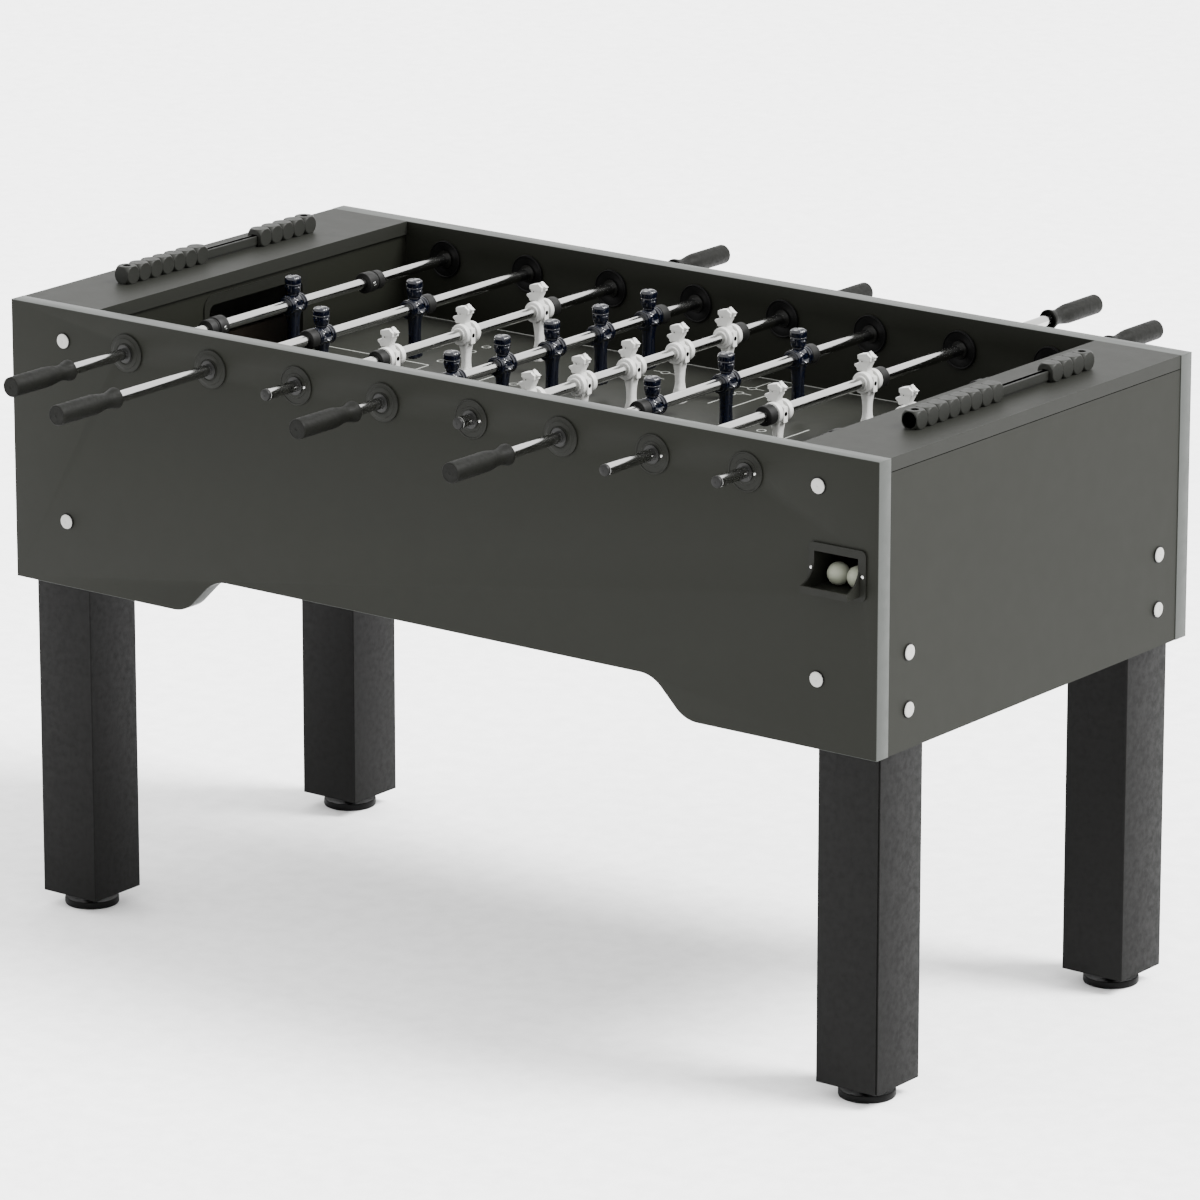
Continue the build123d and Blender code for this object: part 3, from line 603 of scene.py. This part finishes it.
# Outlines of the bearing parts: radius, then distance out from the panel's face.
HOUSING = [(HOUSING_R, -25.5), (14.0, -25.5), (14.0, -0.5)]
HANDLE_FACE = [
    (FLANGE_R, 0.0), (FLANGE_R, 1.9), (FLANGE_R - 0.8, 2.7), (22.4, 3.0), (21.6, 3.3), (20.8, 4.3),
    (20.0, 4.5), (15.6, 4.5), (15.0, 4.3), (14.7, 3.7), (14.2, 3.7), (13.9, 4.4), (13.2, 4.5),
    (11.6, 4.5), (HOUSING_R, 4.0), (HOUSING_R, -25.5),
]
STUB_FACE = [
    (FLANGE_R, 0.0), (FLANGE_R, 1.5), (FLANGE_R - 0.5, 2.0), (FLANGE_R - 1.8, 2.0), (FLANGE_R - 2.4, 1.3),
    (17.6, 1.3), (16.9, 2.0), (11.6, 2.0), (HOUSING_R, 1.6), (HOUSING_R, -25.5),
]
STUB_SCREW = [(0, 2.6), (0.8, 2.5), (1.0, 3.0), (1.8, 2.8), (2.2, 2.0)]
DISH = [
    (HOUSING_R, 0), (FLANGE_R, 0), (FLANGE_R, 3.4), (FLANGE_R - 0.5, 4.0), (FLANGE_R - 1.3, 4.0),
    (FLANGE_R - 1.8, 3.4), (FLANGE_R - 2.4, 2.6), (14.6, 1.9), (13.8, 1.5), (11.5, 1.5), (HOUSING_R, 1.2),
    (HOUSING_R, 0),
]


def make_bearings():
    """Outer flanges, inner dishes and housing tubes of all the rods, and their sleeves' paint."""
    outer = bmesh.new()
    inner = bmesh.new()
    for number, (_, _, handle_side) in enumerate(RODS, start=1):
        x = rod_x(number)
        for side in (-1, 1):
            face = HANDLE_FACE if side == handle_side else STUB_FACE
            lathe(outer, facing(HOUSING + face, side), (x, side * PANEL_OUT, ROD_Z), "Y", 72)
            if side != handle_side:
                spot = (x + STUB_SCREW_X, side * PANEL_OUT, ROD_Z)
                lathe(outer, facing(STUB_SCREW, side), spot, "Y", 24, 1)
            lathe(inner, facing(DISH, -side), (x, side * PANEL_IN, ROD_Z), "Y", 72)
        paint(f"sleeves_{number}", SLEEVE_PLASTIC)
        soften(f"sleeves_{number}", 0.3)
    for bm, name, materials in ((outer, "bearing_faces", [GREY_PLASTIC, SCREW_METAL]),
                                (inner, "bearing_dishes", [DARK_PLASTIC])):
        bmesh.ops.remove_doubles(bm, verts=bm.verts, dist=0.001)
        piece = place_piece(bm, name, "root", materials)
        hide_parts("bearing_flanges")


# ---- rods, handles and stops --------------------------------------------------------------
GRIP_FACE = {1: 479.0, 2: 540.0, 3: 483.0, 5: 433.0}
STUB_TIP = {1: 434.0, 2: 488.0, 3: 437.5, 5: 384.0}
CLAMP_START = 156.5
CLAMP_SCREW = 9.0
TUBE_BORE_R = 5.5
TUBE_EDGE = 0.3
MAN_HALF = 17.5
# Outline of a handle from its face outward: radius, then distance from the face.
HANDLE = [
    (8.2, 4.0), (11.6, 4.0), (12.0, 3.5), (12.2, 0.8), (12.8, 0.0), (13.8, 0.0), (14.4, 0.5), (14.5, 1.2),
    (14.4, 3.4), (13.9, 5.6), (13.0, 8.6), (12.0, 12.0), (11.2, 16.0), (10.8, 20.0), (10.9, 24.0),
    (11.4, 28.5), (12.2, 33.5), (13.0, 38.5), (13.6, 43.5), (13.9, 47.0), (14.0, 51.0), (14.0, 117.6),
    (13.8, 118.9), (13.2, 119.7), (12.3, 120.0), (11.8, 120.0), (11.5, 119.75), (2.2, 119.75), (1.8, 119.4),
    (0.0, 119.4),
]


# Outlines of a stop ring and of the plug in a stub end, in the same way.
STOP_RING = [
    (8.05, 0.3), (9.0, 0.1), (13.2, 0.1), (13.9, 0.8), (14.0, 1.6), (14.0, 14.4), (13.8, 15.3),
    (13.2, 15.9), (9.0, 15.9), (8.05, 15.6),
]
PLUG = [
    (0, 0.3), (1.2, 0.3), (1.5, 0.0), (6.4, 0.0), (7.5, 0.5), (8.0, 1.6), (8.0, 4.9), (5.45, 5.0),
    (5.45, 16.5), (0, 16.8),
]


def rest_y(number):
    """Y of the middle of a rod's men at rest."""
    node = f"men_{number}"
    return (low(node).y + high(node).y) / 2


def make_tube(number, body):
    """The chromed tube of a rod, with its ends just broken."""
    near, far = low(f"rod_{number}").y, high(f"rod_{number}").y
    wall = [(TUBE_BORE_R, near), (ROD_R - TUBE_EDGE, near), (ROD_R, near + TUBE_EDGE),
            (ROD_R, far - TUBE_EDGE), (ROD_R - TUBE_EDGE, far), (TUBE_BORE_R, far), (TUBE_BORE_R, near)]
    bm = bmesh.new()
    lathe(bm, wall, (rod_x(number), 0, ROD_Z), "Y", 96)
    bmesh.ops.remove_doubles(bm, verts=bm.verts, dist=0.001)
    tube = place_piece(bm, f"tube_{number}", body, [CHROME])
    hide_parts(f"rod_{number}")


def make_grip_piece(number, body, men, handle_side):
    """The rubber handle of a rod."""
    bm = bmesh.new()
    centre = (rod_x(number), rest_y(number) + handle_side * GRIP_FACE[men], ROD_Z)
    lathe(bm, facing(HANDLE, handle_side), centre, "Y", 72)
    handle = place_piece(bm, f"grip_{number}", body, [GRIP], 34)
    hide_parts(f"handle_{number}")


def make_stops(number, body, men, handle_side):
    """A rod's stop rings or clamps, and the plug in its stub end."""
    x, rest = rod_x(number), rest_y(number)
    bm = bmesh.new()
    for side in (-1, 1):
        if men == 1:
            make_clamp(bm, x, rest, side)
        else:
            start = rest + side * ((men - 1) / 2 * MAN_PITCH[men] + MAN_HALF)
            lathe(bm, facing(STOP_RING, side), (x, start, ROD_Z), "Y", 56)
    tip = (x, rest - handle_side * STUB_TIP[men], ROD_Z)
    lathe(bm, facing(PLUG, handle_side), tip, "Y", 48)
    stops = place_piece(bm, f"bumpers_{number}", body, [STOP_RUBBER, SCREW_METAL])
    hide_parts(f"stops_{number}")


def make_rods():
    """Chromed tubes, handles, stop rings, clamps and end plugs."""
    for number, (men, _, handle_side) in enumerate(RODS, start=1):
        body = f"rod_set_{number}"
        make_tube(number, body)
        make_grip_piece(number, body, men, handle_side)
        make_stops(number, body, men, handle_side)


def make_clamp(bm, x, rest, side):
    """A goalkeeper's two-part clamp: a screwed collar and a notched nose."""
    start = rest + side * CLAMP_START
    collar = [(8.05, 0.4), (9, 0.1), (14.2, 0.1), (14.9, 0.8), (15, 1.6), (15, 16.4), (14.7, 17.3),
              (14, 17.9), (8.05, 17.9)]
    nose = [(8.05, 18.1), (12.6, 18.1), (13.2, 18.6), (13.2, 20.6), (12.4, 21.0), (12.4, 22.0),
            (13.7, 22.4), (13.7, 33.6), (13.3, 34.6), (12.6, 34.95), (8.05, 34.6)]
    for part in (collar, nose):
        lathe(bm, facing(part, side), (x, start, ROD_Z), "Y", 56)
    screw = [(0, 15.1), (1.4, 15.1), (1.7, 15.7), (2.7, 15.6), (3.2, 15.0), (3.2, 12.5)]
    lathe(bm, screw, (x, start + side * CLAMP_SCREW, ROD_Z), "X", 28, 1)


# ---- score counters -----------------------------------------------------------------------
BEAD = 25.0
BEAD_BALL = 17.5
BEAD_FLAT = BEAD / 2 - 0.15
BEAD_LIFT = 0.3
COUNTER_X = 670.0
COUNTER_HALF = 195.0
BEADS_NEAR = {-1: 6, 1: 7}
BEADS = 10
RAIL_END = 0.3
MOUTH_OUT = 0.12
# Sections of a counter's rail, of the black strip of painted shade in its groove and of the slot through a
# bead, drawn as painted shade at the bead faces: x, then height.
RAIL = [
    (-4, 0), (4, 0), (4, 4), (6, 4), (6, 15.2), (5.2, 16), (3.6, 16), (3.4, 15.8), (3.4, 13), (-3.4, 13),
    (-3.4, 15.8), (-3.6, 16), (-5.2, 16), (-6, 15.2), (-6, 4), (-4, 4),
]
GROOVE_SHADE = [(-3.35, 13.05), (3.35, 13.05), (3.35, 15.6), (-3.35, 15.6)]
SLOT_SHADE = round_corners([(-6.8, 0.3, 0), (6.8, 0.3, 0), (6.8, 17.4, 4), (-6.8, 17.4, 4)], 6)


def make_bead_mesh(name):
    """A ball cut flat on its six sides, just clear of the board under it."""
    bm = bmesh.new()
    bmesh.ops.create_icosphere(bm, subdivisions=5, radius=BEAD_BALL)
    for vert in bm.verts:
        vert.co = Vector([max(-BEAD_FLAT, min(BEAD_FLAT, value)) for value in vert.co])
        vert.co.z = max(vert.co.z, -BEAD_FLAT + BEAD_LIFT)
    return finish_mesh(bm, f"bead_{name}", [COUNTER_PLASTIC], 28)


def make_counters():
    """Square-sided beads on a grooved rail between two end blocks."""
    for end, name in ((-1, "left"), (1, "right")):
        x = end * COUNTER_X
        bead_mesh = make_bead_mesh(name)
        near = [-COUNTER_HALF + BEAD * (index + 1) for index in range(BEADS_NEAR[end])]
        far = [COUNTER_HALF - BEAD * (index + 1) for index in range(BEADS - BEADS_NEAR[end])]
        blocks = [-COUNTER_HALF, COUNTER_HALF]
        for index, y in enumerate(near + far + blocks):
            moves = y == near[-1]
            bead = show(f"counter_bead_{name}_{index + 1}", bead_mesh)
            bead.location = Vector((x, y, TOP_Z + BEAD / 2)) * MM
            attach(bead, f"score_bead_{name}" if moves else "root")
            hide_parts(f"score_bead_{name}" if moves else "score_counters")
        make_rail(x, name, end, near[-1] + BEAD_FLAT, far[-1] - BEAD_FLAT)


def make_rail(x, name, end, gap_low, gap_high):
    """A counter's rail, with painted shade: black sheets in the mouths of the slot in the two beads that
    face the gap and a black strip in the rail's groove.
    """
    bm = bmesh.new()
    half = COUNTER_HALF - BEAD / 2 - RAIL_END
    rail, groove_shade, slot_shade = [[(x + across, TOP_Z + up) for across, up in section]
                          for section in (RAIL, GROOVE_SHADE, SLOT_SHADE)]
    prism(bm, rail, -half, half)
    # Thin black sheets of painted shade in the slot's mouths at the two bead faces beside the gap.
    for y, out in ((gap_low, MOUTH_OUT), (gap_high, -MOUTH_OUT)):
        prism(bm, slot_shade, *sorted((y - out / 2, y + out)), 1)
    # A black strip of painted shade filling the groove along the top of the rail.
    prism(bm, groove_shade, -half, half, 1)
    for side in (-1, 1):
        make_end_block(bm, x, side, side == -end)
    piece = place_piece(bm, f"counter_rail_{name}", "root", [COUNTER_PLASTIC, PAINTED_SHADE_BLACK])
    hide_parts("score_counters")


def make_end_block(bm, x, side, hollow):
    """Painted shade of an end block: a black disc for the screw hole sunk in its top and, in a hollow
    block, a black disc for the recess in its end face.
    """
    y = side * COUNTER_HALF
    if hollow:
        # A flat black disc of painted shade for the recess in the end face.
        recess_shade = [(10.9, -0.2), (10.9, 0.1), (10.4, 0.13), (0, 0.08)]
        face = (x, y + side * BEAD_FLAT, TOP_Z + BEAD / 2)
        lathe(bm, facing(recess_shade, side), face, "Y", 48, 1)
    # A flat black disc of painted shade for the screw hole in the top.
    screw = [(0, 0.06), (5.0, 0.1), (5.4, 0.08), (5.4, -0.4)]
    lathe(bm, screw, (x, y, TOP_Z + BEAD / 2 + BEAD_FLAT), "Z", 32, 1)


# ---- players ------------------------------------------------------------------------------
TRUNK_STEPS = 56
ROW_STEP = 1.1
HEAD_STEPS = 72
HEAD_ROW_STEP = 0.6
# Rows of a body from the top down: height, half size along X, half size along Y, centre in X.
DARK_TRUNK = [
    (13.0, 6.0, 6.8, 0), (11.6, 8.2, 9.8, 0), (9.4, 10.2, 12.2, 0), (6.0, 11.6, 13.4, 0),
    (1.0, 12.4, 13.6, 0), (-5.0, 12.2, 13.0, 0), (-11.0, 10.8, 11.4, 0), (-17.0, 9.2, 9.8, 0),
    (-23.0, 8.4, 9.2, 0), (-30.0, 8.0, 9.0, 0), (-38.0, 7.6, 9.0, 0), (-46.0, 7.4, 9.6, 0),
    (-53.0, 7.4, 10.4, 0), (-58.0, 8.0, 11.2, 0.3), (-62.0, 8.4, 11.4, 0.4),
    (-68.0, 8.6, 12.0, 0), (-70.8, 7.6, 11.8, 0), (-72.0, 6.6, 10.9, 0),
]
LIGHT_TRUNK = [
    (-3.0, 10.6, 9.8, 0), (-9.0, 10.2, 9.6, 0), (-14.0, 8.8, 9.2, 0), (-20.0, 7.4, 8.6, 0),
    (-27.0, 6.2, 7.6, 0), (-35.0, 5.5, 7.2, 0), (-43.0, 5.4, 7.2, 0), (-48.0, 5.7, 7.8, 0),
    (-52.0, 6.4, 9.0, 0), (-56.0, 7.4, 10.4, 0), (-60.0, 8.2, 11.2, 0), (-67.0, 8.3, 11.6, 0),
    (-70.8, 7.6, 11.2, 0), (-72.0, 6.8, 10.4, 0),
]
HEAD_ROWS = [
    (12.4, 6.0), (13.2, 7.6), (14.2, 7.8), (14.9, 7.6), (16.0, 8.4), (18.0, 9.3), (20.2, 9.9),
    (24.0, 10.3), (29.2, 10.3), (29.8, 10.0), (30.3, 10.7), (31.2, 10.8), (36.4, 10.8), (38.4, 10.4),
    (39.8, 9.2), (40.6, 7.6), (41.0, 4.6),
]
# How square the head is in plan: 2 would be round.
HEAD_SQUARE = 2.6
# Nose, brow, eyes, mouth, chin and ears: how far out, turn from the front, its width, height, its width.
FACE = [
    (2.0, 0, 0.16, 24.6, 1.7), (0.5, 0, 0.7, 28.6, 0.9), (-0.9, 0.42, 0.17, 26.8, 1.1),
    (-0.5, 0, 0.33, 20.4, 0.5), (0.7, 0, 0.35, 17.6, 1.1), (1.1, 1.6, 0.13, 25.6, 2.2),
]
CAP_RIDGE_FROM = 37.4
CAP_RIDGE = 0.45
CAP_RIDGE_PITCH = 3.1


def dome(value, middle, width):
    """A smooth bump of height one round a middle."""
    return math.exp(-(((value - middle) / width) ** 2))


def thicken(rows, step):
    """Rows filled in to a fine step, easing between the given ones."""
    filled = [rows[0]]
    for first, second in zip(rows, rows[1:]):
        parts = max(1, round(abs(second[0] - first[0]) / step))
        for part in range(1, parts + 1):
            share = part / parts
            filled.append(tuple(a + (b - a) * share for a, b in zip(first, second)))
    return filled


def trunk(bm, rows, power, relief):
    """A body skinned through its rows; relief(x, y, z) pushes the surface in or out."""
    sections = []
    for z, half_x, half_y, centre_x in thicken(rows, ROW_STEP):
        section = []
        for x, y, _ in oval(z, half_x, half_y, centre_x, power, TRUNK_STEPS):
            out = Vector((x - centre_x, y, 0))
            push = relief(x - centre_x, y, z)
            moved = out + out.normalized() * push
            section.append((moved.x + centre_x, moved.y, z))
        sections.append(section)
    loft(bm, sections)


def dark_relief(x, y, z):
    """Folded arms over a chest strap, a parting between the legs and the edges of the boots."""
    push = 0.0
    if x > 0:
        for slope, reach in ((0.3, 2.6), (-0.3, 2.2)):
            push += reach * dome(z, -3.5 + slope * y, 1.4) * dome(y, 0, 12)
        push += 1.4 * dome(z, 5.0 - 0.8 * y, 1.0) + 1.0 * dome(z, 9.0 - 0.4 * abs(y), 0.9)
    else:
        for slope in (0.85, -0.85):
            push += 1.3 * dome(z, 1.0 + slope * y, 1.3)
    if z < -26:
        push -= 2.3 * dome(y, 0, 1.7) * min(1.0, (-26 - z) / 8)
    if z < -50:
        push += 0.5 * dome(z, -69.5, 1.2)
    return push


def light_relief(x, y, z):
    """Scooped sides above the foot and a shallow channel down the front of the leg."""
    push = -2.6 * dome(z, -59, 6.0) * dome(x, 0, 4.2)
    if x > 0:
        push -= 0.7 * dome(y, 0, 3.4) * dome(z, -34, 11.0)
    return push


def make_dark_player():
    """Gloss player: round capped head with a plain doll's face, folded arms and two boots."""
    bm = bmesh.new()
    trunk(bm, DARK_TRUNK, 2.5, dark_relief)
    rings = []
    for z, radius in thicken(HEAD_ROWS, HEAD_ROW_STEP):
        ring = []
        for index in range(HEAD_STEPS):
            turn = 2 * math.pi * index / HEAD_STEPS
            side = abs(turn if turn <= math.pi else turn - 2 * math.pi)
            powers = abs(math.cos(turn)) ** HEAD_SQUARE + abs(math.sin(turn)) ** HEAD_SQUARE
            r = radius * powers ** (-1 / HEAD_SQUARE)
            for out, aside, wide, level, tall in FACE:
                r += out * dome(side, aside, wide) * dome(z, level, tall)
            y = r * math.sin(turn)
            ridge = CAP_RIDGE * math.cos(2 * math.pi * y / CAP_RIDGE_PITCH)
            ring.append((r * math.cos(turn), y, z + (ridge if z > CAP_RIDGE_FROM else 0.0)))
        rings.append(ring)
    loft(bm, rings)
    collar = [(8.05, 9), (13.2, 9), (13.4, 12.2), (12.4, 12.8), (12.4, 13.6), (13.6, 14.0), (13.8, 15.0),
              (13.6, 16.2), (12.8, 16.6), (11.0, 16.7), (10.6, 17.4), (8.6, 17.5), (8.05, 17.2), (8.05, 9)]
    for side in (-1, 1):
        lathe(bm, facing(collar, side), (0, 0, 0), "Y", 56)
    return finish_mesh(bm, "player_dark", [PLAYER_DARK, PAINTED_SHADE_BLACK], 38)


# Outlines of the light player's head in profile, facing +X: x, then height over the rod.
LIGHT_SKULL = [
    (2.0, 11.6), (7.0, 14.0), (9.4, 17.4), (9.4, 24.6), (11.4, 28.6), (11.4, 30.4), (-7.4, 30.4),
    (-7.6, 28.4), (-6.6, 25.0), (-3.6, 20.0), (-2.6, 14.8), (-2.2, 12.0),
]
LIGHT_CAP = [
    (12.6, 30.2), (12.8, 35.4), (11.6, 36.4), (4.0, 38.2), (-3.4, 39.8), (-5.4, 37.4), (-9.4, 35.0),
    (-9.0, 29.0), (-4.0, 29.0),
]
LIGHT_CREST = [
    (3.0, 36.8), (-4.4, 42.4), (-5.8, 39.4), (-7.0, 37.0), (-10.4, 36.0), (-14.6, 35.2), (-10.4, 32.0),
    (-6.0, 30.6),
]
LIGHT_SNOUT = [
    (7.6, 13.4), (12.8, 12.8), (14.5, 13.8), (14.8, 16.2), (16.8, 18.0), (18.9, 19.6), (19.2, 21.2),
    (18.0, 22.6), (13.6, 23.4), (10.6, 25.6), (7.6, 26.2),
]


def rounded_slab(bm, outline, half, round_off, middle):
    """An outline in XZ carried across Y, its edges drawn in to a soft round on both sides."""
    slices = []
    mid_x, mid_z = middle
    for share in (-1.0, -0.88, 0.88, 1.0):
        inset = 1 - (round_off if abs(share) == 1.0 else 0.0)
        slices.append([(mid_x + (x - mid_x) * inset, share * half, mid_z + (z - mid_z) * inset)
                       for x, z in outline])
    loft(bm, slices)


def make_light_player():
    """Satin player: peaked head in profile, two hub discs, a screwed back pad and a slim leg."""
    bm = bmesh.new()
    trunk(bm, LIGHT_TRUNK, 3.2, light_relief)
    rounded_slab(bm, LIGHT_SKULL, 6.0, 0.08, (2.5, 22.0))
    rounded_slab(bm, LIGHT_CAP, 6.9, 0.04, (0.0, 34.0))
    rounded_slab(bm, LIGHT_CREST, 2.6, 0.06, (-5.0, 36.0))
    rounded_slab(bm, LIGHT_SNOUT, 5.2, 0.12, (12.0, 19.0))
    neck = [(8, 7.2, 8.6, 0.5), (12, 6.2, 7.4, 0.5), (15, 5.8, 6.4, 1.0)]
    loft(bm, [oval(*row, 2.6, 32) for row in neck])
    hub = [(8.05, -17.5), (9.7, -17.5), (10.3, -17.0), (10.4, -15.6), (13.9, -15.6), (14.7, -15.1),
           (15.0, -14.2), (15.0, -8.6), (14.6, -7.7), (13.6, -7.2), (10.8, -7.0)]
    hub += [(radius, -far) for radius, far in reversed(hub)]
    lathe(bm, hub, (0, 0, 0), "Y", 64)
    pad = [(-8.0, 4.9, 0.0), (-12.4, 4.8, 0.2), (-13.0, 4.3, 0.8)]
    rows = []
    for x, half, inset in pad:
        corners = round_corners([(-half, -14 + inset, 1.2), (half, -14 + inset, 1.2),
                                 (half, 9 - inset, 2.6), (-half, 9 - inset, 2.6)], 4)
        rows.append([(x, y, z) for y, z in corners])
    loft(bm, rows)
    # The screw hole in the back pad: a black disc of painted shade.
    screw_hole_shade = [(0, -13.15), (3.1, -13.15), (3.3, -12.9)]
    lathe(bm, screw_hole_shade, (0, 0, -1.5), "X", 28, 1)
    # The eye sockets: shallow dimples filled with black painted shade.
    for y in (-6.15, 6.15):
        eye = [(0, y), (0.7, y * 0.998), (1.0, y * 0.97)]
        lathe(bm, eye, (5.6, 0, 27.4), "Y", 20, 1)
    for z, out in ((-26.0, 6.1), (-44.0, 5.35)):
        for face in (-1, 1):
            dot = [(0, face * out), (1.7, face * out), (1.9, face * (out - 0.4))]
            lathe(bm, dot, (0, 0, z), "X", 24)
    return finish_mesh(bm, "player_light", [PLAYER_WHITE, PAINTED_SHADE_BLACK], 38)


def make_players():
    """Every player, standing down from its rod: the dark team faces +X and the light team -X."""
    meshes = {True: make_dark_player(), False: make_light_player()}
    for number, (men, dark, _) in enumerate(RODS, start=1):
        for index in range(men):
            y = rest_y(number) + MAN_PITCH[men] * (index - (men - 1) / 2)
            player = show(f"player_{number}_{index + 1}", meshes[dark])
            player.location = Vector((rod_x(number), y, ROD_Z)) * MM
            player.rotation_euler = (0, 0, 0 if dark else math.pi)
            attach(player, f"rod_set_{number}")
            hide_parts(f"men_{number}")


# ---- cup screws and painted joint shadows -------------------------------------------------
CUP_SCREWS = (631.5, 711.8)
CUP_SCREW_Z = 731.0
CUP_PLATE = 3.0
JOINT_SHADOW_HALF = 0.45
JOINT_SHADOW_LIFT = 0.08


def make_cup_screws():
    """Small domed screws at each end of the two cup plates."""
    head = [(0, 1.5), (1.2, 1.35), (2.1, 0.9), (2.6, 0.1), (2.6, -0.8)]
    bm = bmesh.new()
    for end in (-1, 1):
        for x in CUP_SCREWS:
            spot = (end * x, -end * (PANEL_OUT + CUP_PLATE), CUP_SCREW_Z)
            lathe(bm, facing(head, -end), spot, "Y", 28)
    piece = place_piece(bm, "cup_screws", "root", [SCREW_METAL])


def make_joint_shadows():
    """A thin black strip of painted shadow in the joint under each top board, seen on the end faces."""
    bm = bmesh.new()
    z = low("top_boards").z
    face = high("end_panels").x
    # Each strip is painted shadow: black material standing a hair proud of the end face along the joint
    # line.
    for end in (-1, 1):
        x_low, x_high = sorted((end * (face - JOINT_SHADOW_LIFT), end * (face + JOINT_SHADOW_LIFT)))
        prism(bm, [(x_low, z - JOINT_SHADOW_HALF), (x_high, z - JOINT_SHADOW_HALF), (x_high, z + JOINT_SHADOW_HALF),
                   (x_low, z + JOINT_SHADOW_HALF)], -PANEL_IN, PANEL_IN)
    piece = place_piece(bm, "top_board_joint_shadows", "root", [PAINTED_SHADE_BLACK])


# ---- put together -------------------------------------------------------------------------
make_side_panels()
make_boards()
make_print()
make_legs()
make_feet()
make_bolts()
make_bearings()
make_rods()
make_counters()
make_players()
make_cup_screws()
make_joint_shadows()


# ---- floor, light and camera --------------------------------------------------------------
def make_floor():
    """A plain pale floor."""
    bpy.ops.mesh.primitive_plane_add(size=FLOOR_SIZE, location=(0, 0, -FLOOR_DROP))
    floor = bpy.context.object
    floor.name = "studio_floor"
    floor.data.materials.append(make_moulded("studio_paper", (0.93, 0.93, 0.93), 0.9, 0.0))


def make_sun(name, source, power, spread):
    """A broad soft light from far away, shining from the source direction."""
    data = bpy.data.lights.new(name, "SUN")
    data.energy = power
    data.angle = math.radians(spread)
    lamp = show(name, data)
    lamp.rotation_euler = Vector(source).to_track_quat("Z", "Y").to_euler()


KEY_SOURCE = (1.0, 0.4, 1.25)
KEY_POWER = 10.5
KEY_SPREAD = 24.0
WORLD_STRENGTH = 2.8
FLOOR_SIZE = 60.0
FLOOR_DROP = 0.0005
CAMERA_PLACE = (5.965, -7.863, 3.3009)
CAMERA_YAW = -37.13
CAMERA_PITCH = -15.87
CAMERA_LENS = 222.88


def make_camera():
    """The long-lens three-quarter view from the near right."""
    data = bpy.data.cameras.new("camera")
    data.lens = CAMERA_LENS
    data.sensor_width = 36.0
    data.clip_end = 100.0
    camera = show("camera", data)
    yaw, pitch = math.radians(CAMERA_YAW), math.radians(CAMERA_PITCH)
    ahead = Vector((math.sin(yaw) * math.cos(pitch), math.cos(yaw) * math.cos(pitch), math.sin(pitch)))
    camera.location = CAMERA_PLACE
    camera.rotation_euler = ahead.to_track_quat("-Z", "Y").to_euler()
    bpy.context.scene.camera = camera


def make_world():
    """Even white light from all round."""
    world = bpy.data.worlds.new("studio")
    world.use_nodes = True
    background = world.node_tree.nodes["Background"]
    background.inputs["Color"].default_value = (1.0, 1.0, 1.0, 1.0)
    background.inputs["Strength"].default_value = WORLD_STRENGTH
    bpy.context.scene.world = world


make_floor()
make_sun("key_right", KEY_SOURCE, KEY_POWER, KEY_SPREAD)
make_camera()
make_world()
